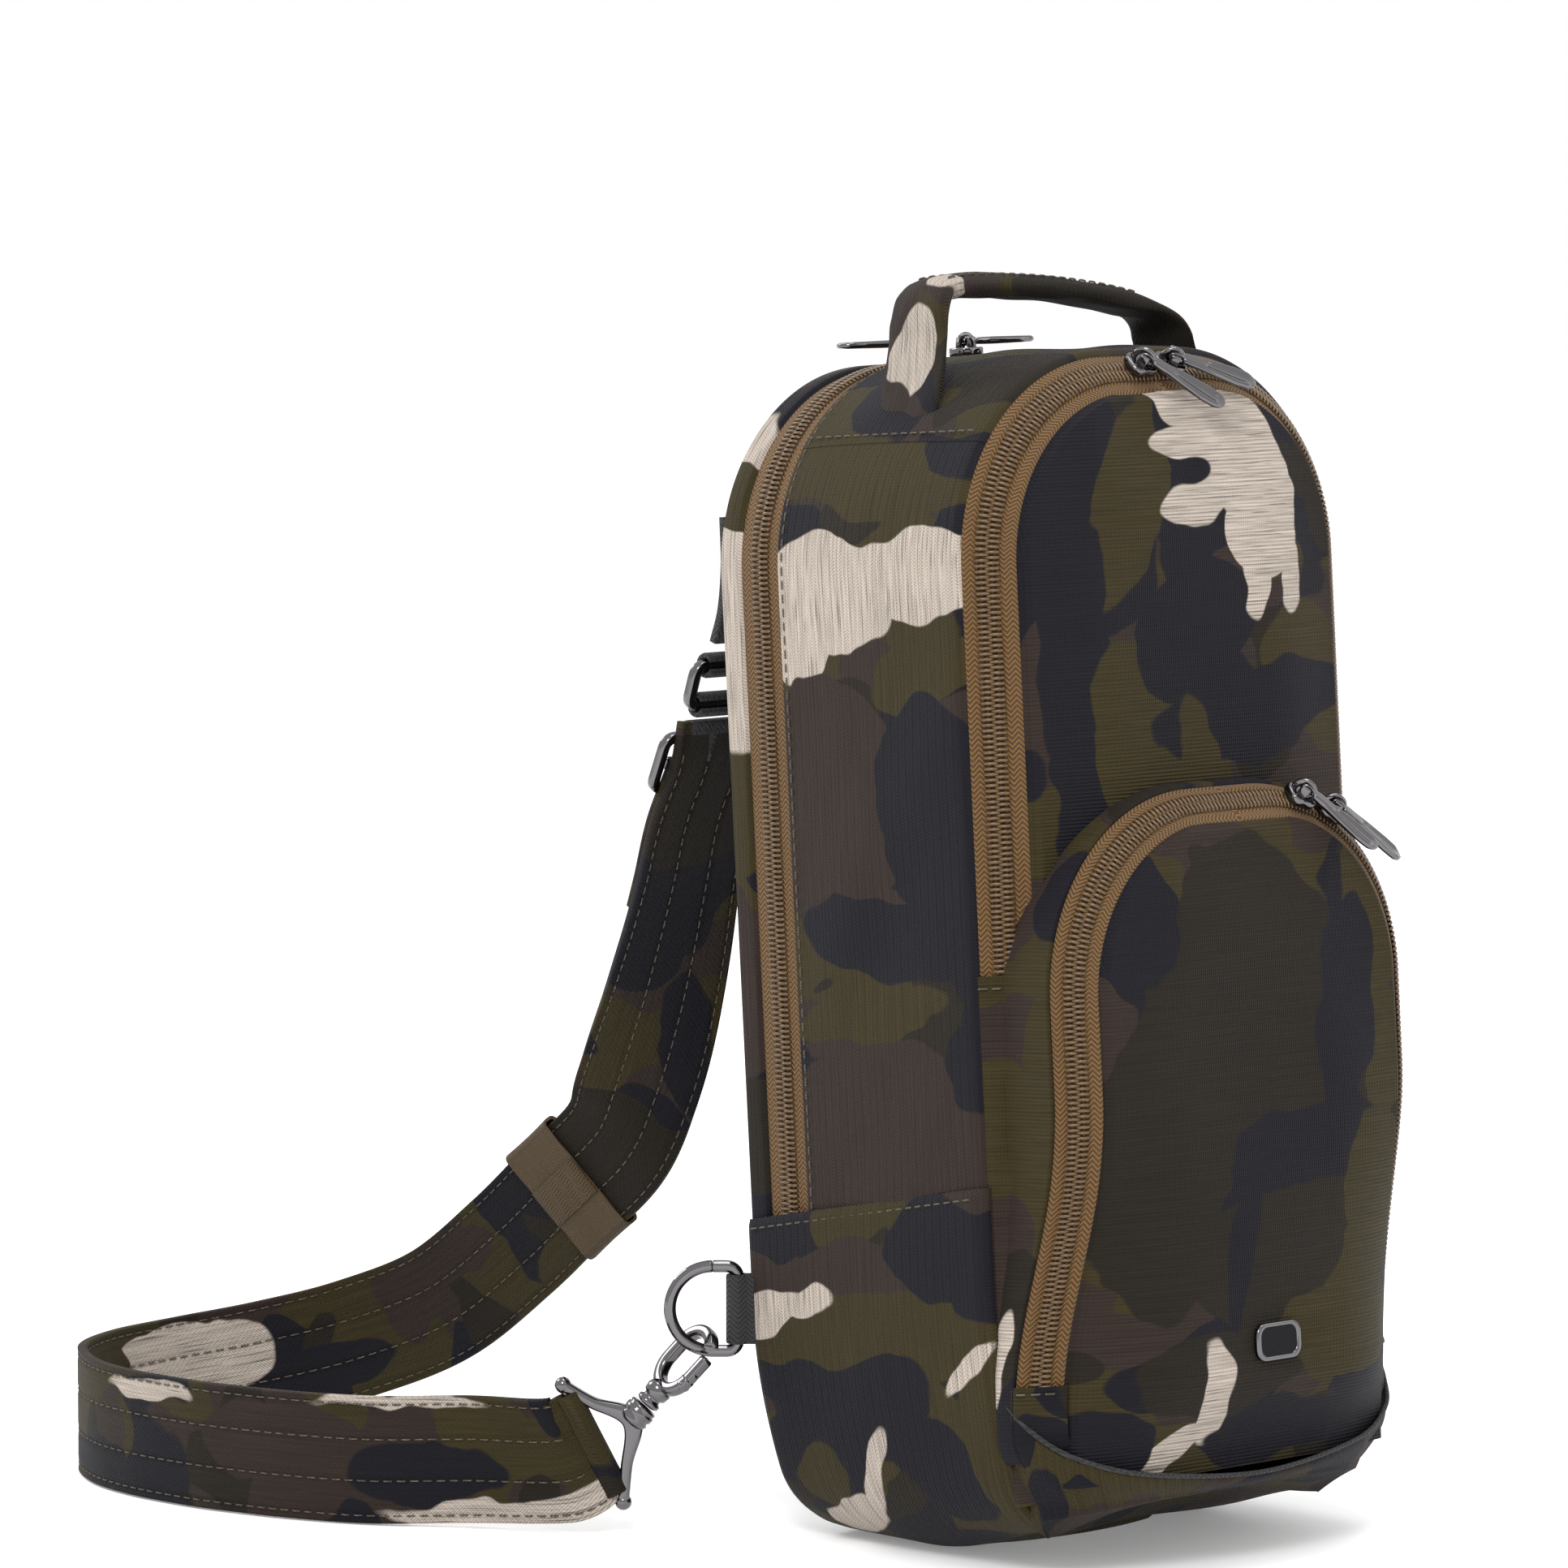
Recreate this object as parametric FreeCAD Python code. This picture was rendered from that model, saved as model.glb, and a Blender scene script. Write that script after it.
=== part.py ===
import FreeCAD, Part
import math
import os
from FreeCAD import Vector

# Sling bag that stands on the floor and leans back a little.  Millimetres, +Z up, front towards -Y.
# The bag is drawn upright in its own frame: X across, y = 0 at the rear lower edge, front at -y,
# z = 0 at that edge.  stand() then leans it back and puts it on the floor.  The strap and its
# fittings are drawn straight in the standing frame.

# ---- driving dimensions -------------------------------------------------------------------------
WIDTH = 150.0             # main body, side to side
SIDE_DEPTH = 101.0        # rear edge to the start of the front bevel
HEIGHT = 341.0            # rear lower edge to the top of the body
TOP_RADIUS = 60.0         # upper corners of the body
BOTTOM_RADIUS = 20.0      # lower corners of the body
LEAN = 4.1                # degrees that the bag leans back
BASE_RISE = 13.0          # how much higher the base is at the front bevel than at the rear edge
WALL = 2.4                # padded fabric wall
SKIN = 1.6                # single fabric wall
TAPE = 1.2                # zip tape
BOOT_HEIGHT = 93.0        # reinforced lower part, above the base
REAR_BORDER = 8.0         # strip behind the rear zip
ZIP_WIDTH = 17.0          # both tapes and the coil of the two body zips
COIL_WIDTH = 7.0
COIL_RISE = 1.8           # coil above its tape
FRONT_BEVEL = 12.0        # 45 degree bevel that carries the front zip
FRONT_ZIP_BOTTOM = 165.0
TOP_PANEL_BOTTOM = 316.0  # the side panels end here
PANEL_CROWN = 4.0         # how far the front panel stands off its edge
CROWN_INSET = 12.0
BACK_PAD = 7.0            # mesh pad on the back
DIVIDER_Y = -62.0         # wall between the two compartments
DIVIDER = 1.5
POCKET_WIDTH = 140.0
POCKET_TOP = 216.0
POCKET_BOTTOM = 30.0
POCKET_RADIUS = 58.0
POCKET_BOTTOM_RADIUS = 14.0
POCKET_GUSSET = 24.0      # pocket edge in front of the start of the front bevel
POCKET_BEVEL = 10.0
POCKET_ZIP_BOTTOM = 50.0
POCKET_CROWN = 4.0
POCKET_CROWN_INSET = 8.0
FLAP_GAP = 0.3            # between the two halves of the pocket zip
PAD_REAR_INSET = 8.0      # base pad, from the rear edge
PAD_LENGTH = 60.0
PAD_HALF_WIDTH = 42.0
BADGE_WIDTH = 18.0
BADGE_HEIGHT = 11.5
BADGE_Z = 56.5
HANDLE_LEFT = -50.0
HANDLE_RIGHT = 54.0
HANDLE_WIDTH = 24.0
HANDLE_RISE = 26.0        # tab's top above its hinge line, left end, before the grip's 6 mm seat
HANDLE_DROP = 8.0         # right end lower than the left
HANDLE_FOOT = 1.2         # half width of a tab at its fold
HANDLE_FOLD_GAP = 1.0     # anchor to the fold
GRIP_WIDTH = 16.0
GRIP_THICKNESS = 8.0
WEBBING = 3.0             # thickness of handle tabs and D-ring tabs
SLIDER_LENGTH = 9.6
SLIDER_WIDTH = 9.0
SLIDER_PLATE = 1.8
SLIDER_LIFT = 0.35        # slider above the coil
LUG_GAP = 3.6             # between the two lugs of a slider
LUG_WALL = 1.5
LUG_HEIGHT = 3.6
PULL_PIN_RADIUS = 0.7
PIN_CLEARANCE = 0.06
PULL_LENGTH = 26.0
PULL_TIP_WIDTH = 7.0
PULL_THICKNESS = 2.0
STRAP_WIDTH = 38.0
STRAP_THICKNESS = 3.0
RING_LENGTH = 46.0        # rectangular ring at the top of the strap
RING_HEIGHT = 16.0
RING_WIRE = 3.4
GLIDE_HEIGHT = 20.0       # strap adjuster
GLIDE_BAR = 3.2
KEEPER_LENGTH = 22.0
KEEPER_WALL = 1.3
KEEPER_GAP = 0.3
D_HEIGHT = 25.0           # D-ring, wire centre to wire centre
D_REACH = 20.0
D_WIRE = 1.7              # wire radius
D_TAB_HEIGHT = 20.0
D_BAR_REACH = 5.0         # bag seam to the D-ring's bar
D_TAB_Z = 67.0
HOOK_WIRE = 1.6           # frame wire radius
HOOK_THICKNESS = 3.2
HOOK_INNER = 11.0
HOOK_ARM = 3.3
HOOK_REACH = 25.0         # swivel to the D-ring wire
HOOK_SEAT = 5.0           # where the hook hangs, past the start of the D-ring's bow
HOOK_TOP = 3.6            # D-ring wire's middle to the inside of the claw's end
HOOK_START = 12.0         # swivel to the inside of the claw's root
HOOK_TILT = 48.0          # degrees above the floor
HOOK_ROLL = 60.0          # degrees that the hook is turned about its own axis
HOOK_OFFSET = 0.9         # D-ring wire off the hook's middle line, away from the gate
SWIVEL_RADIUS = 3.8
SWIVEL_PIN = 1.6
GATE_LENGTH = 10.6
GATE_GAP = 0.3            # gate to the claw's nose
GATE_SWEEP = 3.2          # room inside the claw for the gate's tip
GATE_WIDTH = 3.0
RIVET_RADIUS = 0.75
BAR_UPPER_OUT = 22.4      # upper end of the frame's strap bar, out from the swivel
BAR_UPPER_RISE = 7.8
BAR_LOWER_OUT = 4.8       # lower end of the same bar
BAR_LOWER_DROP = 26.8

# ---- derived ------------------------------------------------------------------------------------
REAR_Y = PAD_REAR_INSET + PAD_LENGTH / 2      # the base pad's flat face is centred on the origin
SLOPE = BASE_RISE / SIDE_DEPTH
BEVEL_Y = -SIDE_DEPTH
PANEL_Y = BEVEL_Y - FRONT_BEVEL
PANEL_FRONT = PANEL_Y - PANEL_CROWN
POCKET_EDGE = BEVEL_Y - POCKET_GUSSET
POCKET_FACE = POCKET_EDGE - POCKET_BEVEL
POCKET_FRONT = POCKET_FACE - POCKET_CROWN
ZIP_START = -REAR_BORDER
ZIP_END = ZIP_START - ZIP_WIDTH
ROOT2 = math.sqrt(2.0)
FAR = 400.0


# ---- helpers ------------------------------------------------------------------------------------
def arch(half, top, bottom, r_top, r_bottom, y):
    """Closed outline in the XZ plane: round upper corners, smaller lower ones."""
    q_top = r_top / ROOT2
    q_bot = r_bottom / ROOT2
    spots = {
        "a": Vector(-half, y, bottom + r_bottom), "b": Vector(-half, y, top - r_top),
        "c": Vector(-half + r_top, y, top), "d": Vector(half - r_top, y, top),
        "e": Vector(half, y, top - r_top), "f": Vector(half, y, bottom + r_bottom),
        "g": Vector(half - r_bottom, y, bottom), "h": Vector(-half + r_bottom, y, bottom),
    }
    mids = {
        "bc": Vector(-half + r_top - q_top, y, top - r_top + q_top),
        "de": Vector(half - r_top + q_top, y, top - r_top + q_top),
        "fg": Vector(half - r_bottom + q_bot, y, bottom + r_bottom - q_bot),
        "ha": Vector(-half + r_bottom - q_bot, y, bottom + r_bottom - q_bot),
    }
    edges = []
    for start, end in ("ab", "bc", "cd", "de", "ef", "fg", "gh", "ha"):
        if start + end in mids:
            edges.append(Part.Arc(spots[start], mids[start + end], spots[end]).toShape())
        else:
            edges.append(Part.makeLine(spots[start], spots[end]))
    return Part.Wire(edges)


def body_outline(inset, y):
    return arch(WIDTH / 2 - inset, HEIGHT - inset, inset,
                TOP_RADIUS - inset, max(BOTTOM_RADIUS - inset, 3.0), y)


def pocket_outline(inset, y):
    return arch(POCKET_WIDTH / 2 - inset, POCKET_TOP - inset, POCKET_BOTTOM + inset,
                POCKET_RADIUS - inset, max(POCKET_BOTTOM_RADIUS - inset, 2.0), y)


def taper(outline, inset_0, y_0, inset_1, y_1):
    """Solid between two outlines."""
    return Part.makeLoft([outline(inset_0, y_0), outline(inset_1, y_1)], True, True)


def ring(outline, outer, inner, y_0, y_1):
    """Straight wall that follows an outline, from one inset to another."""
    return taper(outline, outer, y_0, outer, y_1).cut(taper(outline, inner, y_0, inner, y_1))


def bevel_skin(outline, y, width, thickness):
    """45 degree wall that starts at inset 0."""
    deep = thickness * ROOT2
    outer = taper(outline, 0.0, y, width, y - width)
    inner = taper(outline, deep - 0.01, y + 0.01, deep + width + 0.01, y - width - 0.01)
    return outer.cut(inner)


def bevel_ridge(outline, y, start, end, rise):
    """Ridge on a 45 degree wall, between two distances measured across it."""
    lift = rise / ROOT2
    low = start / ROOT2
    high = end / ROOT2
    outer = taper(outline, low - lift, y - low - lift, high - lift, y - high - lift)
    under = taper(outline, low + lift, y - low - lift, high + lift, y - high - lift)
    return outer.cut(under)


def slab(x_0, x_1, y_0, y_1, z_0, z_1):
    return Part.makeBox(x_1 - x_0, y_1 - y_0, z_1 - z_0, Vector(x_0, y_0, z_0))


def above(z):
    return slab(-FAR, FAR, -FAR, FAR, z, z + 2 * FAR)


def below(z):
    return slab(-FAR, FAR, -FAR, FAR, z - 2 * FAR, z)


def above_base(height):
    """Everything more than a height above the sloping base."""
    low = [Vector(-FAR, FAR, height - SLOPE * FAR), Vector(-FAR, -FAR, height + SLOPE * FAR),
           Vector(-FAR, -FAR, 3 * FAR), Vector(-FAR, FAR, 3 * FAR)]
    return Part.Face(Part.makePolygon(low + low[:1])).extrude(Vector(2 * FAR, 0, 0))


def stand(shape):
    """Lean a shape of the bag back and put it in its place on the floor."""
    placed = shape.copy()
    placed.rotate(Vector(0, 0, 0), Vector(1, 0, 0), -LEAN)
    placed.translate(Vector(0, REAR_Y, 0))
    return placed


def save(name, shape):
    shape.exportStep("parts/" + name + ".step")


def save_bag(name, shape):
    save(name, stand(shape))


def pipe(points, radius):
    """Round bar through points, with a ball at each joint."""
    bars = []
    for start, end in zip(points[:-1], points[1:]):
        run = end.sub(start)
        bars.append(Part.makeCylinder(radius, run.Length, start, run))
    bars += [Part.makeSphere(radius, spot) for spot in points[1:-1]]
    solid = bars[0].multiFuse(bars[1:]) if len(bars) > 1 else bars[0]
    return solid


# ---- body ---------------------------------------------------------------------------------------
def body_shell(y_0, y_1):
    return ring(body_outline, 0.0, WALL, y_0, y_1)


def make_lower_body():
    shell = body_shell(BEVEL_Y, 0.0).common(above_base(0.0))
    save_bag("boot", shell.cut(above_base(BOOT_HEIGHT)))
    floor = taper(body_outline, WALL + 0.05, BEVEL_Y, WALL + 0.05, 0.0)
    start = TAPE * ROOT2 + 0.1
    nose = taper(body_outline, start, BEVEL_Y, start + FRONT_BEVEL - 0.1, PANEL_Y + 0.1)
    base = floor.fuse(nose).common(above_base(0.0)).cut(above_base(WALL))
    save_bag("base_panel", base.removeSplitter())


def make_base_pad():
    """Sagging underside, flat where it stands on the floor."""
    angle = math.tan(math.radians(LEAN) + math.atan(SLOPE))
    rear = PAD_LENGTH / 2
    front = -PAD_LENGTH / 2
    toe = front - 12.0
    gap = 0.05
    profile = [Vector(0, rear, 0), Vector(0, rear, (REAR_Y - rear) * angle - gap),
               Vector(0, toe, (REAR_Y - toe) * angle - gap), Vector(0, front, 0)]
    face = Part.Face(Part.makePolygon(profile + profile[:1]))
    pad = face.extrude(Vector(2 * PAD_HALF_WIDTH, 0, 0))
    pad.translate(Vector(-PAD_HALF_WIDTH, 0, 0))
    save("base_pad", pad)


def make_upper_body():
    upper = above_base(BOOT_HEIGHT)
    save_bag("rear_border", body_shell(ZIP_START, 0.0).common(upper))
    tape = ring(body_outline, 0.0, TAPE, ZIP_END, ZIP_START).common(upper)
    save_bag("rear_zip_tape", tape)
    margin = (ZIP_WIDTH - COIL_WIDTH) / 2
    coil = ring(body_outline, -COIL_RISE, 0.0, ZIP_END + margin, ZIP_START - margin)
    save_bag("rear_zip_coil", coil.common(above_base(BOOT_HEIGHT + 1.0)))
    walls = body_shell(BEVEL_Y, ZIP_END).common(upper)
    sides = walls.cut(above(TOP_PANEL_BOTTOM))
    save_bag("side_panel_left", sides.common(slab(-FAR, 0, -FAR, FAR, 0, FAR)))
    save_bag("side_panel_right", sides.common(slab(0, FAR, -FAR, FAR, 0, FAR)))
    save_bag("top_panel", walls.common(above(TOP_PANEL_BOTTOM)))


def make_back_panel():
    edge = 4.0
    pad = taper(body_outline, edge, 0.05, edge + 5.0, BACK_PAD)
    save_bag("back_panel", pad.common(above(8.0)))


def front_pan():
    outer = taper(body_outline, FRONT_BEVEL, PANEL_Y, FRONT_BEVEL + CROWN_INSET, PANEL_FRONT)
    inner = taper(body_outline, FRONT_BEVEL + WALL, PANEL_Y + 0.01,
                  FRONT_BEVEL + CROWN_INSET, PANEL_FRONT + WALL)
    return outer.cut(inner).common(above_base(0.0))


def make_front():
    skin = bevel_skin(body_outline, BEVEL_Y, FRONT_BEVEL, TAPE).common(above_base(0.0))
    save_bag("front_zip_tape", skin.common(above(FRONT_ZIP_BOTTOM)))
    lower = skin.common(below(FRONT_ZIP_BOTTOM))
    save_bag("front_strip_left", lower.common(slab(-FAR, 0, -FAR, FAR, 0, FAR)))
    save_bag("front_strip_right", lower.common(slab(0, FAR, -FAR, FAR, 0, FAR)))
    save_bag("front_zip_coil", front_coil())
    save_bag("front_panel", front_pan())
    divider = taper(body_outline, WALL + 0.3, DIVIDER_Y, WALL + 0.3, DIVIDER_Y + DIVIDER)
    save_bag("divider_panel", divider.common(above_base(WALL + 0.3)))


def front_coil():
    across = FRONT_BEVEL * ROOT2
    start = (across - COIL_WIDTH) / 2
    coil = bevel_ridge(body_outline, BEVEL_Y, start, start + COIL_WIDTH, COIL_RISE)
    return coil.common(above(FRONT_ZIP_BOTTOM + 1.0))


def make_bottom_band():
    """Rounded band of the boot that shows under the pocket."""
    half = POCKET_WIDTH / 2 - 12.0
    top = POCKET_BOTTOM - 0.3
    rear = PANEL_FRONT - 0.05
    band = slab(-half, half, POCKET_EDGE + 1.5, rear, 0, top).common(above_base(0.5))
    low_front = [edge for edge in band.Edges
                 if edge.BoundBox.ZMax < top - 1 and edge.BoundBox.YMax < POCKET_EDGE + 1.6
                 and edge.BoundBox.XLength > half]
    save_bag("bottom_band", band.makeFillet(3.0, low_front))


# ---- pocket -------------------------------------------------------------------------------------
def make_pocket_gusset():
    wall = ring(pocket_outline, 0.0, SKIN, POCKET_EDGE, BEVEL_Y - 3.0)
    front_volume = taper(body_outline, -0.05, BEVEL_Y, FRONT_BEVEL - 0.05, PANEL_Y - 0.05)
    crown = taper(body_outline, FRONT_BEVEL - 0.05, PANEL_Y - 0.05,
                  FRONT_BEVEL + CROWN_INSET - 0.05, PANEL_FRONT - 0.05)
    save_bag("pocket_gusset", wall.cut(front_volume).cut(crown).cut(front_coil()))


def zip_half(start, end, thickness_or_rise, ridge):
    """Part of the pocket bevel between two distances across it, as tape or as coil."""
    if ridge:
        return bevel_ridge(pocket_outline, POCKET_EDGE, start, end, thickness_or_rise)
    skin = bevel_skin(pocket_outline, POCKET_EDGE, POCKET_BEVEL, thickness_or_rise)
    return skin.common(slab(-FAR, FAR, POCKET_EDGE - end / ROOT2, POCKET_EDGE - start / ROOT2, 0, FAR))


def make_pocket_zip():
    across = POCKET_BEVEL * ROOT2
    middle = across / 2
    coil = COIL_WIDTH / 2
    zone = above(POCKET_ZIP_BOTTOM)
    save_bag("pocket_zip_tape_outer", zip_half(0, middle - FLAP_GAP / 2, TAPE, False).common(zone))
    save_bag("pocket_zip_tape_inner", zip_half(middle + FLAP_GAP / 2, across, TAPE, False).common(zone))
    outer = zip_half(middle - coil, middle - FLAP_GAP / 2, COIL_RISE, True)
    inner = zip_half(middle + FLAP_GAP / 2, middle + coil, COIL_RISE, True)
    save_bag("pocket_zip_coil_outer", outer.common(above(POCKET_ZIP_BOTTOM + 1.0)))
    save_bag("pocket_zip_coil_inner", inner.common(above(POCKET_ZIP_BOTTOM + 1.0)))


def make_pocket_panel():
    outer = taper(pocket_outline, POCKET_BEVEL, POCKET_FACE, POCKET_BEVEL + POCKET_CROWN_INSET, POCKET_FRONT)
    inner = taper(pocket_outline, POCKET_BEVEL + SKIN, POCKET_FACE + 0.01,
                  POCKET_BEVEL + POCKET_CROWN_INSET, POCKET_FRONT + SKIN)
    skirt = bevel_skin(pocket_outline, POCKET_EDGE, POCKET_BEVEL, TAPE).common(below(POCKET_ZIP_BOTTOM))
    skirt = skirt.common(slab(-FAR, FAR, -FAR, POCKET_EDGE - FLAP_GAP, 0, FAR))
    save_bag("pocket_panel", outer.cut(inner).fuse(skirt))


def make_badge():
    """Blank metal badge: a rounded frame round a plain plate."""
    rim = 1.6
    face = POCKET_FRONT - 0.05

    def plate(width, height, radius, y_0, y_1):
        wire = arch(width / 2, BADGE_Z + height / 2, BADGE_Z - height / 2, radius, radius, y_0)
        return Part.Face(wire).extrude(Vector(0, y_1 - y_0, 0))

    frame = plate(BADGE_WIDTH, BADGE_HEIGHT, 3.6, face, face - 1.5)
    hole = plate(BADGE_WIDTH - 2 * rim, BADGE_HEIGHT - 2 * rim, 2.2, face + 1, face - 3)
    save_bag("badge_frame", frame.cut(hole))
    gap = 0.05
    save_bag("badge_plate", plate(BADGE_WIDTH - 2 * rim - 2 * gap, BADGE_HEIGHT - 2 * rim - 2 * gap,
                                  2.2 - gap, face, face - 0.8))


# ---- zip sliders --------------------------------------------------------------------------------
def local_frame(origin, x_dir, z_dir):
    """Placement whose X and Z point along the given directions."""
    y_dir = z_dir.cross(x_dir)
    matrix = FreeCAD.Matrix(x_dir.x, y_dir.x, z_dir.x, origin.x,
                            x_dir.y, y_dir.y, z_dir.y, origin.y,
                            x_dir.z, y_dir.z, z_dir.z, origin.z, 0, 0, 0, 1)
    return matrix


def put(shape, matrix):
    placed = shape.copy()
    placed.transformShape(matrix)
    return placed


def make_slider(name, spot, track, normal, pull_name, pull_direction):
    """Slider on a coil and its pull.  The pull's pin stands between two lugs of the slider."""
    plate = slab(-SLIDER_LENGTH / 2, SLIDER_LENGTH / 2, -SLIDER_WIDTH / 2, SLIDER_WIDTH / 2,
                 SLIDER_LIFT, SLIDER_LIFT + SLIDER_PLATE)
    plate = plate.makeFillet(1.6, [edge for edge in plate.Edges if edge.BoundBox.ZLength > 1.0])
    save_bag(name, put(plate, local_frame(spot, track, normal)).fuse(
        put(make_lugs(), local_frame(spot, pull_direction, normal))))
    save_bag(pull_name, put(make_pull(), local_frame(spot, pull_direction, normal)))


def pin_height():
    return SLIDER_LIFT + SLIDER_PLATE + LUG_HEIGHT - PULL_PIN_RADIUS - 1.0


def make_lugs():
    top = SLIDER_LIFT + SLIDER_PLATE
    lug = slab(-1.8, 1.8, LUG_GAP / 2, LUG_GAP / 2 + LUG_WALL, top - 0.5, top + LUG_HEIGHT)
    upper = [edge for edge in lug.Edges
             if edge.BoundBox.ZMin > top + LUG_HEIGHT - 0.1 and edge.BoundBox.YLength > 1.0]
    lug = lug.makeFillet(1.4, upper)
    other = lug.mirror(Vector(0, 0, 0), Vector(0, 1, 0))
    pin = Part.makeCylinder(PULL_PIN_RADIUS, LUG_GAP + 1.0,
                            Vector(0, -LUG_GAP / 2 - 0.5, pin_height()), Vector(0, 1, 0))
    return lug.multiFuse([other, pin])


def make_pull():
    """Tapered bar: an eye round the slider's pin, then wider towards a round tip."""
    z = pin_height()
    eye_radius = 1.7
    eye_width = LUG_GAP - 0.4
    eye = Part.makeCylinder(eye_radius, eye_width, Vector(0, -eye_width / 2, z), Vector(0, 1, 0))
    low = z - PULL_THICKNESS / 2 + 0.2
    tip = PULL_TIP_WIDTH / 2
    end = PULL_LENGTH - tip
    points = [Vector(0, -eye_width / 2, low), Vector(4, -eye_width / 2, low), Vector(end, -tip, low)]
    mirrored = [Vector(p.x, -p.y, p.z) for p in reversed(points)]
    sides = Part.makePolygon(points)
    back = Part.makePolygon(mirrored)
    arc = Part.Arc(points[-1], Vector(end + tip, 0, low), mirrored[0]).toShape()
    close = Part.makeLine(mirrored[-1], points[0])
    wire = Part.Wire(sides.Edges + [arc] + back.Edges + [close])
    blade = Part.Face(wire).extrude(Vector(0, 0, PULL_THICKNESS))
    hole = Part.makeCylinder(PULL_PIN_RADIUS + PIN_CLEARANCE, 10, Vector(0, -5, z), Vector(0, 1, 0))
    return blade.fuse(eye).cut(hole)


def turned(vector, degrees):
    """Turn a direction about the bag's front to back axis, clockwise from the front."""
    angle = math.radians(degrees)
    return Vector(vector.x * math.cos(angle) + vector.z * math.sin(angle), vector.y,
                  -vector.x * math.sin(angle) + vector.z * math.cos(angle))


def make_sliders():
    up = Vector(0, 0, 1)
    across = Vector(1, 0, 0)
    rear_y = ZIP_START - ZIP_WIDTH / 2
    for name, x, side in (("rear_slider_left", -12.0, -1), ("rear_slider_right", 12.0, 1)):
        make_slider(name, Vector(x, rear_y, HEIGHT + COIL_RISE), across, up,
                    name.replace("slider", "pull"), Vector(side, 0, 0))
    bevel_up = Vector(0, -1, 1).normalize()
    lift = FRONT_BEVEL / 2
    rise = COIL_RISE / ROOT2
    hangs = {"front_slider_left": Vector(0.6, -0.57, -0.57), "front_slider_right": Vector(0.87, -0.35, -0.35)}
    for name, x in (("front_slider_left", -6.5), ("front_slider_right", 5.0)):
        spot = Vector(x, BEVEL_Y - lift - rise, HEIGHT - lift + rise)
        make_slider(name, spot, across, bevel_up, name.replace("slider", "pull"), hangs[name].normalize())
    lift = POCKET_BEVEL / 2
    centre = Vector(POCKET_WIDTH / 2 - POCKET_RADIUS, POCKET_EDGE - lift - rise, POCKET_TOP - POCKET_RADIUS)
    slopes = {"pocket_slider_left": Vector(0.3, 0, -0.95), "pocket_slider_right": Vector(0.6, 0, -0.8)}
    for name, angle in (("pocket_slider_left", 16.0), ("pocket_slider_right", 29.0)):
        normal = turned(bevel_up, angle)
        radius = POCKET_RADIUS - lift + rise
        spot = centre.add(turned(Vector(0, 0, radius), angle))
        tangent = turned(across, angle)
        down = slopes[name]
        flat = down.sub(normal * down.dot(normal)).normalize()
        make_slider(name, spot, tangent, normal, name.replace("slider", "pull"), flat)


# ---- handle -------------------------------------------------------------------------------------
def handle_hinge_z(x):
    corner = abs(x) - (WIDTH / 2 - TOP_RADIUS)
    surface = HEIGHT - TOP_RADIUS + math.sqrt(TOP_RADIUS ** 2 - max(corner, 0) ** 2)
    return surface + 8.0


def make_handle():
    y = (ZIP_END + BEVEL_Y) / 2
    half = HANDLE_WIDTH / 2
    thick = WEBBING / 2
    hinge = handle_hinge_z(HANDLE_LEFT)
    left_top = hinge + HANDLE_RISE - 6.0
    right_top = left_top - HANDLE_DROP
    start = Vector(HANDLE_LEFT - thick, y - GRIP_WIDTH / 2, left_top + 0.05)
    end = Vector(HANDLE_RIGHT + thick, y - GRIP_WIDTH / 2, right_top + 0.05)
    lift = Vector(0, 0, GRIP_THICKNESS)
    outline = [start, end, end.add(lift), start.add(lift)]
    grip = Part.Face(Part.makePolygon(outline + outline[:1])).extrude(Vector(0, GRIP_WIDTH, 0))
    save_bag("handle_grip", grip)
    for name, x, top in (("handle_tab_left", HANDLE_LEFT, left_top), ("handle_tab_right", HANDLE_RIGHT, right_top)):
        foot = hinge + 0.3
        shoulder = half * 0.75
        rise = foot + 13.0
        profile = [Vector(x - thick, y - HANDLE_FOOT, foot), Vector(x - thick, y + HANDLE_FOOT, foot),
                   Vector(x - thick, y + shoulder, rise), Vector(x - thick, y + half * 0.66, top),
                   Vector(x - thick, y - half * 0.66, top), Vector(x - thick, y - shoulder, rise)]
        tab = Part.Face(Part.makePolygon(profile + profile[:1])).extrude(Vector(WEBBING, 0, 0))
        save_bag(name, tab.cut(grip))
        low = hinge - HANDLE_FOLD_GAP
        stub = slab(x - thick, x + thick, y - half, y + half, low - 14.0, low)
        body = taper(body_outline, -0.05, BEVEL_Y, -0.05, 0.0)
        save_bag(name.replace("tab", "anchor"), stub.cut(body))


# ---- strap fittings, standing frame -------------------------------------------------------------
SEAM = Vector(-WIDTH / 2, REAR_Y + D_TAB_Z * math.sin(math.radians(LEAN)), D_TAB_Z * math.cos(math.radians(LEAN)))
OUT = Vector(-0.743, 0.669, 0).normalize()     # away from the left rear corner
DEEP = Vector(OUT.y, -OUT.x, 0)                # level, square to OUT
UP = Vector(0, 0, 1)


def at(out, up, deep=0.0):
    """Point of the hook's upright plane: distance out from the seam, height over the tab's middle."""
    return SEAM.add(OUT * out).add(UP * up).add(DEEP * deep)


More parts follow.
